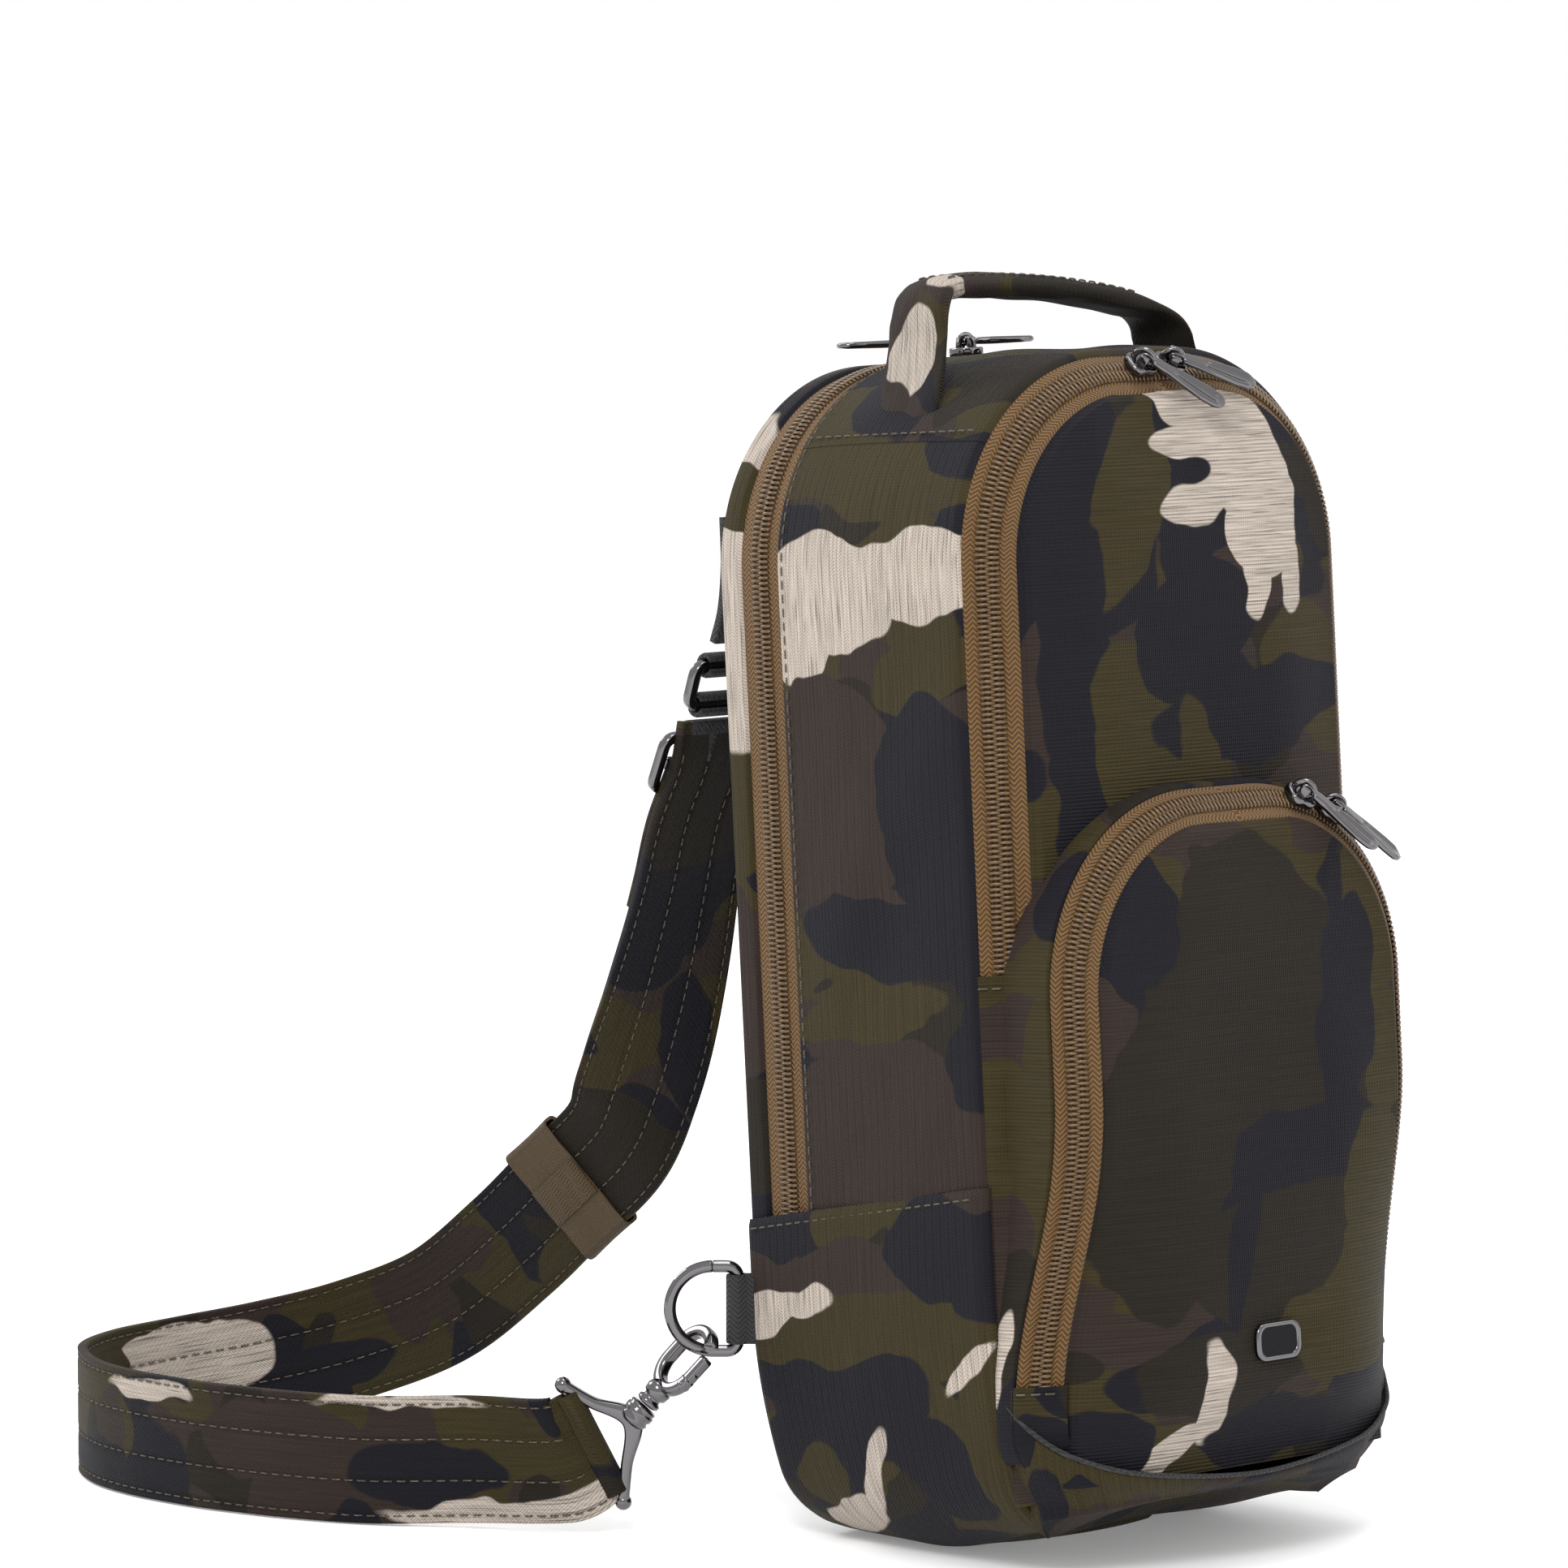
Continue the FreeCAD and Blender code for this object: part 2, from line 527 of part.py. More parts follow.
def make_d_ring_and_tab():
    half = D_HEIGHT / 2
    turn = D_BAR_REACH + D_REACH - half
    corners = [at(turn, half), at(D_BAR_REACH, half), at(D_BAR_REACH, -half), at(turn, -half)]
    wire = pipe(corners, D_WIRE)
    arc = Part.Arc(at(turn, half), at(turn + half, 0), at(turn, -half)).toShape()
    section = Part.Wire([Part.makeCircle(D_WIRE, at(turn, half), OUT)])
    bow = Part.Wire([arc]).makePipeShell([section], True, True)
    d_ring = wire.fuse(bow)
    bar_hole = D_WIRE + PIN_CLEARANCE
    low = at(D_BAR_REACH, -D_TAB_HEIGHT / 2)
    eye = Part.makeCylinder(D_WIRE + 1.9, D_TAB_HEIGHT, low, UP)
    tail = slab(-2.0, D_BAR_REACH, -WEBBING / 2, WEBBING / 2, -D_TAB_HEIGHT / 2, D_TAB_HEIGHT / 2)
    tail = put(tail, local_frame(SEAM, OUT, UP)).cut(stand(taper(body_outline, -0.05, BEVEL_Y, -0.05, 0.05)))
    tab = eye.fuse(tail).cut(Part.makeCylinder(bar_hole, D_TAB_HEIGHT + 4, low.sub(UP * 2), UP))
    for side in ("left", "right"):
        save("d_ring_" + side, d_ring)
        save("d_ring_tab_" + side, tab)
        d_ring = d_ring.mirror(Vector(0, 0, 0), Vector(1, 0, 0))
        tab = tab.mirror(Vector(0, 0, 0), Vector(1, 0, 0))


def hook_axes():
    """Along the hook, across it away from the gate, and square to its plate."""
    tilt = math.radians(HOOK_TILT)
    roll = math.radians(HOOK_ROLL)
    along = OUT * -math.cos(tilt) + UP * math.sin(tilt)
    side = OUT * math.sin(tilt) + UP * math.cos(tilt)
    across = side * math.cos(roll) + DEEP * math.sin(roll)
    return along, across, along.cross(across)


def swivel_centre():
    along, across, normal = hook_axes()
    radius = D_HEIGHT / 2
    wire = at(D_BAR_REACH + D_REACH - radius + HOOK_SEAT, -math.sqrt(radius ** 2 - HOOK_SEAT ** 2))
    return wire.sub(along * HOOK_REACH).sub(across * HOOK_OFFSET)


def strap_bar():
    """Ends of the frame's bar, which the strap's end is folded round."""
    centre = swivel_centre()
    upper = centre.add(OUT * BAR_UPPER_OUT).add(UP * BAR_UPPER_RISE)
    lower = centre.add(OUT * BAR_LOWER_OUT).add(UP * -BAR_LOWER_DROP)
    return upper, lower


def make_hook():
    along, across, normal = hook_axes()
    centre = swivel_centre()
    upper, lower = strap_bar()
    foot = centre.sub(along * 1.5)
    frame = pipe([foot, upper, lower, foot], HOOK_WIRE)
    frame = frame.fuse(Part.makeSphere(HOOK_WIRE, foot))
    barrel = Part.makeCylinder(SWIVEL_RADIUS, 6.0, centre.sub(along * 3), along)
    bore = Part.makeCylinder(SWIVEL_PIN + PIN_CLEARANCE, 12.0, centre.sub(along * 2.0), along)
    save("hook_frame", frame.fuse(barrel).cut(bore))
    matrix = local_frame(centre, along, normal)
    half = HOOK_THICKNESS / 2
    inner = HOOK_INNER / 2
    outer = inner + HOOK_ARM
    near = HOOK_START
    top = HOOK_REACH + HOOK_TOP
    claw = stadium(near - HOOK_ARM, top + HOOK_ARM, outer, half).cut(stadium(near, top, inner, 3 * half))
    gate_start = near + 3.0
    nose = gate_start + GATE_LENGTH + GATE_GAP
    gate_cut = slab(gate_start - 2.4, nose, -outer - 1, -inner + GATE_GAP, -FAR, FAR)
    sweep = slab(nose - 5.0, nose, -inner, -inner + GATE_SWEEP, -FAR, FAR)
    shoulder = slab(near - HOOK_ARM + 0.5, gate_start - 2.0, -outer, -inner + 1.5, -half, half)
    claw = claw.fuse(shoulder).cut(gate_cut).cut(sweep)
    neck = Part.makeCylinder(SWIVEL_PIN, near - 1.0 + 1.5, Vector(-1.5, 0, 0), Vector(1, 0, 0))
    collar = Part.makeCylinder(3.0, near - HOOK_ARM - 3.3 + 1.5, Vector(3.3, 0, 0), Vector(1, 0, 0))
    gate_y = -inner - HOOK_ARM / 2
    lug = slab(near - 1.0, gate_start + 1.2, gate_y - 1.2, gate_y + 1.2, -0.8, 0.8)
    pivot = Vector(gate_start, gate_y, 0)
    pin_hole = Part.makeCylinder(RIVET_RADIUS, 4 * half, pivot.sub(Vector(0, 0, 2 * half)))
    save("hook_body", put(claw.multiFuse([neck, collar, lug]).cut(pin_hole), matrix))
    gate = slab(gate_start, gate_start + GATE_LENGTH, gate_y - GATE_WIDTH / 2, gate_y + GATE_WIDTH / 2,
                -half + 0.1, half - 0.1)
    ends = Part.makeCylinder(GATE_WIDTH / 2, 2 * half - 0.2, Vector(gate_start, gate_y, -half + 0.1))
    slot = slab(gate_start - 3, gate_start + 2.2, gate_y - 3, gate_y + 3, -1.0, 1.0)
    hole = Part.makeCylinder(RIVET_RADIUS + PIN_CLEARANCE, 4 * half, pivot.sub(Vector(0, 0, 2 * half)))
    save("hook_gate", put(gate.fuse(ends).cut(slot).cut(hole), matrix))
    rivet = Part.makeCylinder(RIVET_RADIUS, 2 * half + 0.4, pivot.sub(Vector(0, 0, half + 0.2)))
    save("gate_rivet", put(rivet, matrix))


def stadium(x_0, x_1, half_width, half_height):
    """Slot shape along X, closed by half circles."""
    r = half_width
    body = slab(x_0 + r, x_1 - r, -r, r, -half_height, half_height)
    low = Part.makeCylinder(r, 2 * half_height, Vector(x_0 + r, 0, -half_height))
    high = Part.makeCylinder(r, 2 * half_height, Vector(x_1 - r, 0, -half_height))
    return body.multiFuse([low, high])


# ---- strap --------------------------------------------------------------------------------------
# The strap's middle line from the adjuster to the hook, with the direction across it at each point.
KEEPER_FROM = Vector(-44.5, 141.0, 102.0)
KEEPER_TO = Vector(-43.0, 191.0, 65.0)
KEEPER_ACROSS = Vector(0.37, -0.55, -0.75)
STRAP_ROUTE = [
    (Vector(-50.5, 86.0, 222.0), Vector(1, 0, 0)),
    (Vector(-52.0, 93.0, 205.0), Vector(1, -0.02, -0.02)),
    (Vector(-50.5, 100.0, 187.0), Vector(1, -0.06, -0.06)),
    (Vector(-48.9, 108.0, 166.0), Vector(0.95, -0.18, -0.17)),
    (Vector(-47.0, 118.0, 143.0), Vector(0.84, -0.34, -0.34)),
    (Vector(-45.5, 129.5, 120.0), Vector(0.6, -0.48, -0.56)),
    (KEEPER_FROM, KEEPER_ACROSS),
    (KEEPER_TO, KEEPER_ACROSS),
    (Vector(-47.5, 220.0, 44.0), Vector(0.25, -0.36, -0.9)),
    (Vector(-60.0, 248.0, 31.0), Vector(0.08, -0.14, -0.98)),
    (Vector(-80.0, 267.0, 24.0), Vector(0, -0.05, -1)),
    (Vector(-105.0, 278.0, 20.5), Vector(0, 0, -1)),
    (Vector(-131.0, 277.0, 19.2), Vector(0, 0, -1)),
    (Vector(-153.0, 264.0, 19.2), Vector(0, 0, -1)),
    (Vector(-167.0, 243.0, 19.2), Vector(0, 0, -1)),
    (Vector(-173.0, 217.0, 19.2), Vector(0, 0, -1)),
    (Vector(-171.0, 187.0, 19.2), Vector(0, 0, -1)),
    (Vector(-163.0, 157.0, 19.2), Vector(0, 0, -1)),
    (Vector(-149.0, 129.0, 19.2), Vector(0, 0, -1)),
    (Vector(-131.0, 106.0, 19.6), Vector(0.08, -0.07, -0.99)),
]


def ribbon(route, width, thickness):
    """Flat band through points that are given with the direction across the band."""
    wires = []
    for index, (spot, across) in enumerate(route):
        before = route[max(index - 1, 0)][0]
        after = route[min(index + 1, len(route) - 1)][0]
        run = after.sub(before).normalize()
        side = across.sub(run * across.dot(run)).normalize()
        flat = run.cross(side) * (thickness / 2)
        reach = side * (width / 2)
        corners = [spot.add(reach).add(flat), spot.sub(reach).add(flat),
                   spot.sub(reach).sub(flat), spot.add(reach).sub(flat)]
        wires.append(Part.makePolygon(corners + corners[:1]))
    return Part.makeLoft(wires, True, True)


def make_strap():
    upper, lower = strap_bar()
    bar = lower.sub(upper).normalize()
    middle = upper.add(lower) * 0.5
    back = OUT.sub(bar * OUT.dot(bar)).normalize()
    fold = HOOK_WIRE + PIN_CLEARANCE + 1.6
    eye_length = upper.sub(lower).Length - 2 * HOOK_WIRE - 1.0
    eye_start = middle.sub(bar * (eye_length / 2))
    eye = Part.makeCylinder(fold, eye_length, eye_start, bar)
    bore = Part.makeCylinder(HOOK_WIRE + PIN_CLEARANCE, eye_length + 8, eye_start.sub(bar * 4), bar)
    route = STRAP_ROUTE + [(middle.add(back * 9), bar), (middle.add(back * 1.5), bar)]
    tail_route = route[-2:]
    body = ribbon(route[:-1], STRAP_WIDTH, STRAP_THICKNESS)
    tail = ribbon(tail_route, eye_length, STRAP_THICKNESS)
    arms = pipe([upper, swivel_centre().sub(hook_axes()[0] * 1.5), lower], HOOK_WIRE + 0.6)
    top_eye, top_bore = ring_eye(-1)
    top = ribbon([(top_eye.CenterOfMass.add(Vector(0, 0.3, -2.0)), Vector(1, 0, 0)), STRAP_ROUTE[0]],
                 STRAP_WIDTH - 0.4, STRAP_THICKNESS)
    save("strap", body.multiFuse([tail, eye, top, top_eye]).cut(bore).cut(arms).cut(top_bore))


def make_keeper():
    """Elastic sleeve that holds the strap's free end down."""
    run = KEEPER_TO.sub(KEEPER_FROM)
    direction = run * (1 / run.Length)
    side = KEEPER_ACROSS.sub(direction * KEEPER_ACROSS.dot(direction)).normalize()
    centre = KEEPER_FROM.add(run * 0.42)
    half = KEEPER_LENGTH / 2
    width = STRAP_WIDTH / 2 + KEEPER_GAP
    thick = STRAP_THICKNESS / 2 + KEEPER_GAP
    wall = KEEPER_WALL
    sleeve = slab(-half, half, -thick - wall, thick + wall, -width - wall, width + wall)
    sleeve = sleeve.cut(slab(-half - 1, half + 1, -thick, thick, -width, width))
    save("keeper", put(sleeve, local_frame(centre, direction, side)))


def rectangular_ring(length, height, bar, thick, middle_bar):
    """Flat ring in the XZ plane; an adjuster has a bar across the middle too."""
    outer = slab(-length / 2, length / 2, -thick / 2, thick / 2, -height / 2, height / 2)
    uprights = [edge for edge in outer.Edges if edge.BoundBox.YLength > thick / 2]
    outer = outer.makeFillet(2.0, uprights)
    inner = slab(-length / 2 + bar, length / 2 - bar, -FAR, FAR, -height / 2 + bar, height / 2 - bar)
    if middle_bar:
        inner = inner.cut(slab(-length, length, -FAR, FAR, -bar / 2, bar / 2))
    return outer.cut(inner)


RING_CENTRE = Vector(-47.0, 78.0, 247.0)
RING_TILT = 19.0
RING_TAB_Z = 275.0
GLIDE_TILT = 24.0
GLIDE_SPACE = 3.4         # adjuster in front of the strap's middle line


def tilted(shape, degrees, spot):
    placed = shape.copy()
    placed.rotate(Vector(0, 0, 0), Vector(1, 0, 0), degrees)
    placed.translate(spot)
    return placed


def make_top_fittings():
    """Ring, adjuster, and the tab that is sewn to the back."""
    ring_shape = rectangular_ring(RING_LENGTH, RING_HEIGHT, RING_WIRE, RING_WIRE, False)
    save("top_ring", tilted(ring_shape, RING_TILT, RING_CENTRE))
    top = STRAP_ROUTE[0][0]
    glide = rectangular_ring(RING_LENGTH, GLIDE_HEIGHT, GLIDE_BAR, 2.4, True)
    save("tri_glide", tilted(glide, GLIDE_TILT, top.add(Vector(0.5, GLIDE_SPACE, 1.5))))
    eye, bore = ring_eye(1)
    bar = eye.CenterOfMass
    lean = math.radians(LEAN)
    sewn = Vector(bar.x, REAR_Y + BACK_PAD + 1.65 + RING_TAB_Z * math.sin(lean), RING_TAB_Z)
    route = [(sewn.add(Vector(0, 18 * math.sin(lean), 18)), Vector(1, 0, 0)), (sewn, Vector(1, 0, 0)),
             (bar.add(Vector(0, -1.0, 2.0)), Vector(1, 0, 0))]
    save("ring_tab", eye.fuse(ribbon(route, STRAP_WIDTH - 0.4, STRAP_THICKNESS)).cut(bore))


def ring_eye(sign):
    """Fold of webbing round the upper (+1) or lower (-1) bar of the top ring, and its bore."""
    tilt = math.radians(RING_TILT)
    bar_up = (RING_HEIGHT - RING_WIRE) / 2
    bar = RING_CENTRE.add(Vector(0, -math.sin(tilt) * bar_up * sign, math.cos(tilt) * bar_up * sign))
    half = (STRAP_WIDTH - 0.4) / 2
    hole = RING_WIRE / ROOT2 + 0.1
    across = Vector(1, 0, 0)
    eye = Part.makeCylinder(hole + 1.5, 2 * half, bar.sub(across * half), across)
    return eye, Part.makeCylinder(hole, 2 * half + 4, bar.sub(across * (half + 2)), across)


# ---- build --------------------------------------------------------------------------------------
os.makedirs("parts", exist_ok=True)
make_lower_body()
make_base_pad()
make_upper_body()
make_back_panel()
make_front()
make_bottom_band()
make_pocket_gusset()
make_pocket_zip()
make_pocket_panel()
make_badge()
make_sliders()
make_handle()
make_d_ring_and_tab()
make_hook()
make_strap()
make_keeper()
make_top_fittings()
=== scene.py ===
import bpy
import math
import numpy as np
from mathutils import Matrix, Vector

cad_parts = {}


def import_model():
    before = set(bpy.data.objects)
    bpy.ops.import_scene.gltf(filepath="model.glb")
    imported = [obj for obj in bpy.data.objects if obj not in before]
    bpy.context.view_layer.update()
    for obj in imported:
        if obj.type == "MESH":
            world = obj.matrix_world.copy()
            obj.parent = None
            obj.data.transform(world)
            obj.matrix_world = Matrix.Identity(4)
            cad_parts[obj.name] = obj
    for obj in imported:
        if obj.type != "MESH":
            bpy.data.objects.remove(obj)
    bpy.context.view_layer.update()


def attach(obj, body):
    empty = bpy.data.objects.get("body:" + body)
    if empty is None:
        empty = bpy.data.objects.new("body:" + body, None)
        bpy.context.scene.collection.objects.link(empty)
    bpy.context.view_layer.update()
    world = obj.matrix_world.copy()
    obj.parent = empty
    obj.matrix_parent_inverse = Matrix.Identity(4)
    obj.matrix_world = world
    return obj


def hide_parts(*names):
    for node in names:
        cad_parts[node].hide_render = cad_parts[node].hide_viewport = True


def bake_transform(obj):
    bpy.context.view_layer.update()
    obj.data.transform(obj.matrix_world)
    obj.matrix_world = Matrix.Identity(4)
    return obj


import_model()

# Sling bag that leans back a little.  Most shapes are made in the bag's upright frame in millimetres
# (x across, y = 0 at the rear lower edge and negative forwards, z up) and placed by world().
MM = 0.001
LEAN = math.radians(4.1)
REAR = 38.0
COS, SIN = math.cos(LEAN), math.sin(LEAN)
ROOT2 = math.sqrt(2.0)
HALF_WIDTH = 75.0       # main body, from its middle
DEPTH = 101.0           # rear edge to the start of the front bevel
TOP = 341.0
BOOT_TOP = 93.0         # height of the boot's sewn upper edge
STRIP_TOP = 165.0       # where the front zip ends above the side strips
REAR_ZIP_Y = -16.5      # middle of the rear zip's coil
HANDLE_Y = -63.0
POCKET_Y = -125.0       # start of the pocket's bevel
DETAIL = 1.0


def stack(*parts):
    """Numbers or arrays side by side along a new last axis."""
    return np.stack(np.broadcast_arrays(*parts), -1)


def world(p):
    p = np.asarray(p, float)
    x, y, z = p[..., 0], p[..., 1], p[..., 2]
    return stack(x, REAR + y * COS + z * SIN, -y * SIN + z * COS) * MM


def floor_frame(p):
    return np.asarray(p, float) * MM


def smooth(t):
    t = np.clip(t, 0.0, 1.0)
    return t * t * (3 - 2 * t)


def count(n):
    return max(4, int(n * DETAIL))


def ripple(p, wave, seed):
    """Smooth random field of size about 1, with features about wave wide."""
    waves = 7
    rng = np.random.RandomState(seed)
    p = np.asarray(p, float)
    out = np.zeros(p.shape[:-1])
    for _ in range(waves):
        d = rng.normal(size=3)
        d /= np.linalg.norm(d)
        out += np.sin(p @ (d * 2 * math.pi / (wave * rng.uniform(0.6, 1.7))) + rng.uniform(0, 6.28))
    return out / math.sqrt(waves)


# ---- materials ----------------------------------------------------------------------------------
def linear(r, g, b):
    def one(c):
        c /= 255.0
        return c / 12.92 if c <= 0.04045 else ((c + 0.055) / 1.055) ** 2.4
    return (one(r), one(g), one(b), 1.0)


CREAM = linear(190, 178, 166)
OLIVE = linear(54, 46, 20)
TAUPE = linear(48, 37, 32)
NAVY = linear(18, 16, 25)
BROWN = linear(32, 26, 17)
COLOURS = {"c": CREAM, "o": OLIVE, "t": TAUPE, "n": NAVY, "b": BROWN}


class Nodes:
    """Small helper that adds nodes and links."""

    def __init__(self, name):
        self.material = bpy.data.materials.new(name)
        self.material.use_nodes = True
        self.tree = self.material.node_tree
        self.shader = self.tree.nodes["Principled BSDF"]

    def add(self, kind, **values):
        node = self.tree.nodes.new(kind)
        for key, value in values.items():
            setattr(node, key, value)
        return node

    def link(self, source, target):
        self.tree.links.new(source, target)

    def put(self, socket, value):
        if isinstance(value, bpy.types.NodeSocket):
            self.link(value, socket)
        else:
            socket.default_value = value

    def math(self, operation, a, b=0.0, c=0.0):
        node = self.add("ShaderNodeMath", operation=operation)
        for index, value in enumerate((a, b, c)):
            self.put(node.inputs[index], value)
        return node.outputs[0]

    def uv(self):
        return self.add("ShaderNodeUVMap", uv_map="UVMap").outputs[0]

    def split(self, vector):
        node = self.add("ShaderNodeSeparateXYZ")
        self.link(vector, node.inputs[0])
        return node.outputs[0], node.outputs[1]

    def scaled(self, vector, scale, location=(0, 0, 0)):
        node = self.add("ShaderNodeMapping")
        self.link(vector, node.inputs["Vector"])
        node.inputs["Scale"].default_value = scale
        node.inputs["Location"].default_value = location
        return node.outputs[0]

    def noise(self, vector, scale, detail=2.0, rough=0.5):
        node = self.add("ShaderNodeTexNoise")
        self.link(vector, node.inputs["Vector"])
        node.inputs["Scale"].default_value = scale
        node.inputs["Detail"].default_value = detail
        node.inputs["Roughness"].default_value = rough
        return node

    def ramp(self, value, low, high, to_low=0.0, to_high=1.0):
        node = self.add("ShaderNodeMapRange", interpolation_type="SMOOTHSTEP")
        self.link(value, node.inputs["Value"])
        for key, number in (("From Min", low), ("From Max", high), ("To Min", to_low), ("To Max", to_high)):
            node.inputs[key].default_value = number
        return node.outputs[0]

    def mix(self, factor, a, b, blend="MIX"):
        node = self.add("ShaderNodeMix", data_type="RGBA", blend_type=blend)
        self.put(node.inputs[0], factor)
        self.put(node.inputs[6], a)
        self.put(node.inputs[7], b)
        return node.outputs[2]

    def bump(self, height, strength, distance, before=None):
        node = self.add("ShaderNodeBump")
        node.inputs["Strength"].default_value = strength
        node.inputs["Distance"].default_value = distance
        self.link(height, node.inputs["Height"])
        if before is not None:
            self.link(before, node.inputs["Normal"])
        return node.outputs[0]

    def finish(self, **values):
        for key, value in values.items():
            self.put(self.shader.inputs[key.replace("_", " ")], value)
        return self.material


def sine(n, value, period):
    return n.math("SINE", n.math("MULTIPLY", value, 2 * math.pi / period))


def camo(name, blobs, streak="v", weave="twill", seed=0.0, gloom=1.0):
    """Printed cloth.  blobs are ellipses (u, v, half width, half height, angle, colour) in mm."""
    n = Nodes(name)
    uv = n.uv()
    soft = n.noise(n.scaled(uv, (1, 1, 1), (seed * 37, seed * 53, 0)), 0.045, 2.0, 0.45)
    shift = n.add("ShaderNodeVectorMath", operation="MULTIPLY_ADD")
    n.link(soft.outputs["Color"], shift.inputs[0])
    shift.inputs[1].default_value = (14, 14, 0)
    shift.inputs[2].default_value = (-7, -7, 0)
    moved = n.add("ShaderNodeVectorMath", operation="ADD")
    n.link(uv, moved.inputs[0])
    n.link(shift.outputs[0], moved.inputs[1])
    bent = moved.outputs[0]
    colour = TAUPE
    layers = ((OLIVE, 0.021, 0.50), (NAVY, 0.019, 0.54), (BROWN, 0.024, 0.60))
    for index, (tint, scale, level) in enumerate(layers):
        field = n.noise(n.scaled(bent, (1, 1.3, 1), (seed * 91 + 400 * index, 170.0 * index, 0)), scale, 1.0)
        colour = n.mix(n.ramp(field.outputs["Fac"], level - 0.004, level + 0.004), colour, tint)
    pale = None
    for u, v, half_u, half_v, angle, tint in blobs:
        place = n.add("ShaderNodeMapping", vector_type="TEXTURE")
        n.link(bent, place.inputs["Vector"])
        place.inputs["Location"].default_value = (u, v, 0)
        place.inputs["Rotation"].default_value = (0, 0, math.radians(angle))
        place.inputs["Scale"].default_value = (half_u, half_v, 1)
        size = n.add("ShaderNodeVectorMath", operation="LENGTH")
        n.link(place.outputs[0], size.inputs[0])
        edge = 0.35 / min(half_u, half_v)
        inside = n.ramp(size.outputs["Value"], 1 - edge, 1 + edge, 1.0, 0.0)
        colour = n.mix(inside, colour, COLOURS[tint])
        if tint == "c":
            pale = inside if pale is None else n.math("MAXIMUM", pale, inside)
        elif pale is not None:
            pale = n.math("MULTIPLY", pale, n.math("SUBTRACT", 1.0, inside))
    along = (1.5, 0.035, 1) if streak == "v" else (0.035, 1.5, 1)
    slub = n.noise(n.scaled(uv, along), 1.0, 3.0, 0.6).outputs["Fac"]
    shade = n.ramp(slub, 0.25, 0.75, 0.72, 1.22)
    value = n.add("ShaderNodeCombineColor")
    for index in range(3):
        n.link(n.math("MULTIPLY", shade, gloom), value.inputs[index])
    colour = n.mix(0.85, colour, value.outputs[0], "MULTIPLY")
    if pale is not None:
        fine = (2.6, 0.05, 1) if streak == "v" else (0.05, 2.6, 1)
        line = n.noise(n.scaled(uv, fine, (7, 3, 0)), 1.0, 2.0, 0.5).outputs["Fac"]
        dark = n.math("MULTIPLY", n.ramp(line, 0.56, 0.66, 0.0, 0.62), pale)
        colour = n.mix(dark, colour, TAUPE)
    u, v = n.split(uv)
    if weave == "twill":
        zigzag = n.math("PINGPONG", u, 1.6)
        rows = sine(n, n.math("ADD", v, n.math("MULTIPLY", zigzag, 0.8)), 0.95)
        lines = sine(n, u, 1.6)
    elif weave == "rib":
        rows = sine(n, n.math("ADD", v, n.math("MULTIPLY", slub, 0.6)), 1.05)
        lines = sine(n, u, 0.8)
    else:
        rows = sine(n, n.math("ADD", v, u), 1.0)
        lines = sine(n, n.math("SUBTRACT", v, u), 1.9)
    height = n.math("ADD", n.math("MULTIPLY", rows, 0.7), n.math("MULTIPLY", lines, 0.3))
    height = n.math("ADD", height, n.math("MULTIPLY", slub, 0.8))
    # Where the weave's height is low the colour is mixed towards black: painted shade in the grooves of the
    # weave.
    colour = n.mix(n.ramp(height, -1.0, 1.2, 0.42, 0.0), colour, (0.004, 0.004, 0.005, 1))
    folds = n.noise(uv, 0.06, 3.0, 0.55).outputs["Fac"]
    normal = n.bump(folds, 0.5, 0.0012, n.bump(height, 0.7, 0.00028))
    return n.finish(Base_Color=colour, Roughness=0.66, Normal=normal, Sheen_Weight=0.02,
                    Specular_IOR_Level=0.14)


def zip_tape():
    n = Nodes("zip_tape")
    u, v = n.split(n.uv())
    chevron = n.math("ADD", v, n.math("PINGPONG", u, 1.9))
    rows = sine(n, chevron, 1.5)
    worn = n.noise(n.uv(), 0.5, 3.0).outputs["Fac"]
    colour = n.mix(n.ramp(rows, -1, 1), linear(60, 39, 12), linear(128, 90, 36))
    colour = n.mix(n.ramp(worn, 0.3, 0.8, 0.0, 0.4), colour, linear(96, 70, 36))
    return n.finish(Base_Color=colour, Roughness=0.7, Normal=n.bump(rows, 0.8, 0.0004), Sheen_Weight=0.05)


def plain_cloth(name, dark, light, period):
    n = Nodes(name)
    u, v = n.split(n.uv())
    rows = sine(n, n.math("ADD", v, n.math("PINGPONG", u, 2.2)), period)
    worn = n.noise(n.uv(), 0.25, 3.0).outputs["Fac"]
    colour = n.mix(n.ramp(n.math("ADD", rows, worn), -0.6, 1.6), dark, light)
    return n.finish(Base_Color=colour, Roughness=0.8, Normal=n.bump(rows, 0.6, 0.0003), Sheen_Weight=0.05)


def metal(name, tone, rough):
    n = Nodes(name)
    place = n.add("ShaderNodeTexCoord").outputs["Object"]
    marks_and_highlights = n.noise(place, 900.0, 3.0).outputs["Fac"]
    return n.finish(Base_Color=tone, Metallic=1.0,
                    Roughness=n.ramp(marks_and_highlights, 0.3, 0.8, rough * 0.7, rough * 1.5))


def coil_plastic():
    n = Nodes("zip_coil")
    place = n.add("ShaderNodeTexCoord").outputs["Object"]
    marks_and_highlights = n.noise(place, 700.0, 2.0).outputs["Fac"]
    # The light tan speckles mixed in by this noise are painted highlights on the glossy coil; the dark bronze
    # is the coil's own colour.
    colour = n.mix(marks_and_highlights, linear(48, 33, 16), linear(112, 84, 48))
    return n.finish(Base_Color=colour, Roughness=0.33, Specular_IOR_Level=0.6)


def mesh_cloth():
    n = Nodes("mesh_pad")
    u, v = n.split(n.uv())
    holes = n.math("MULTIPLY", sine(n, u, 2.6), sine(n, v, 2.6))
    colour = n.mix(n.ramp(holes, 0.2, 0.6), linear(26, 26, 28), linear(8, 8, 9))
    return n.finish(Base_Color=colour, Roughness=0.9, Normal=n.bump(holes, 0.8, 0.0005), Sheen_Weight=0.04)


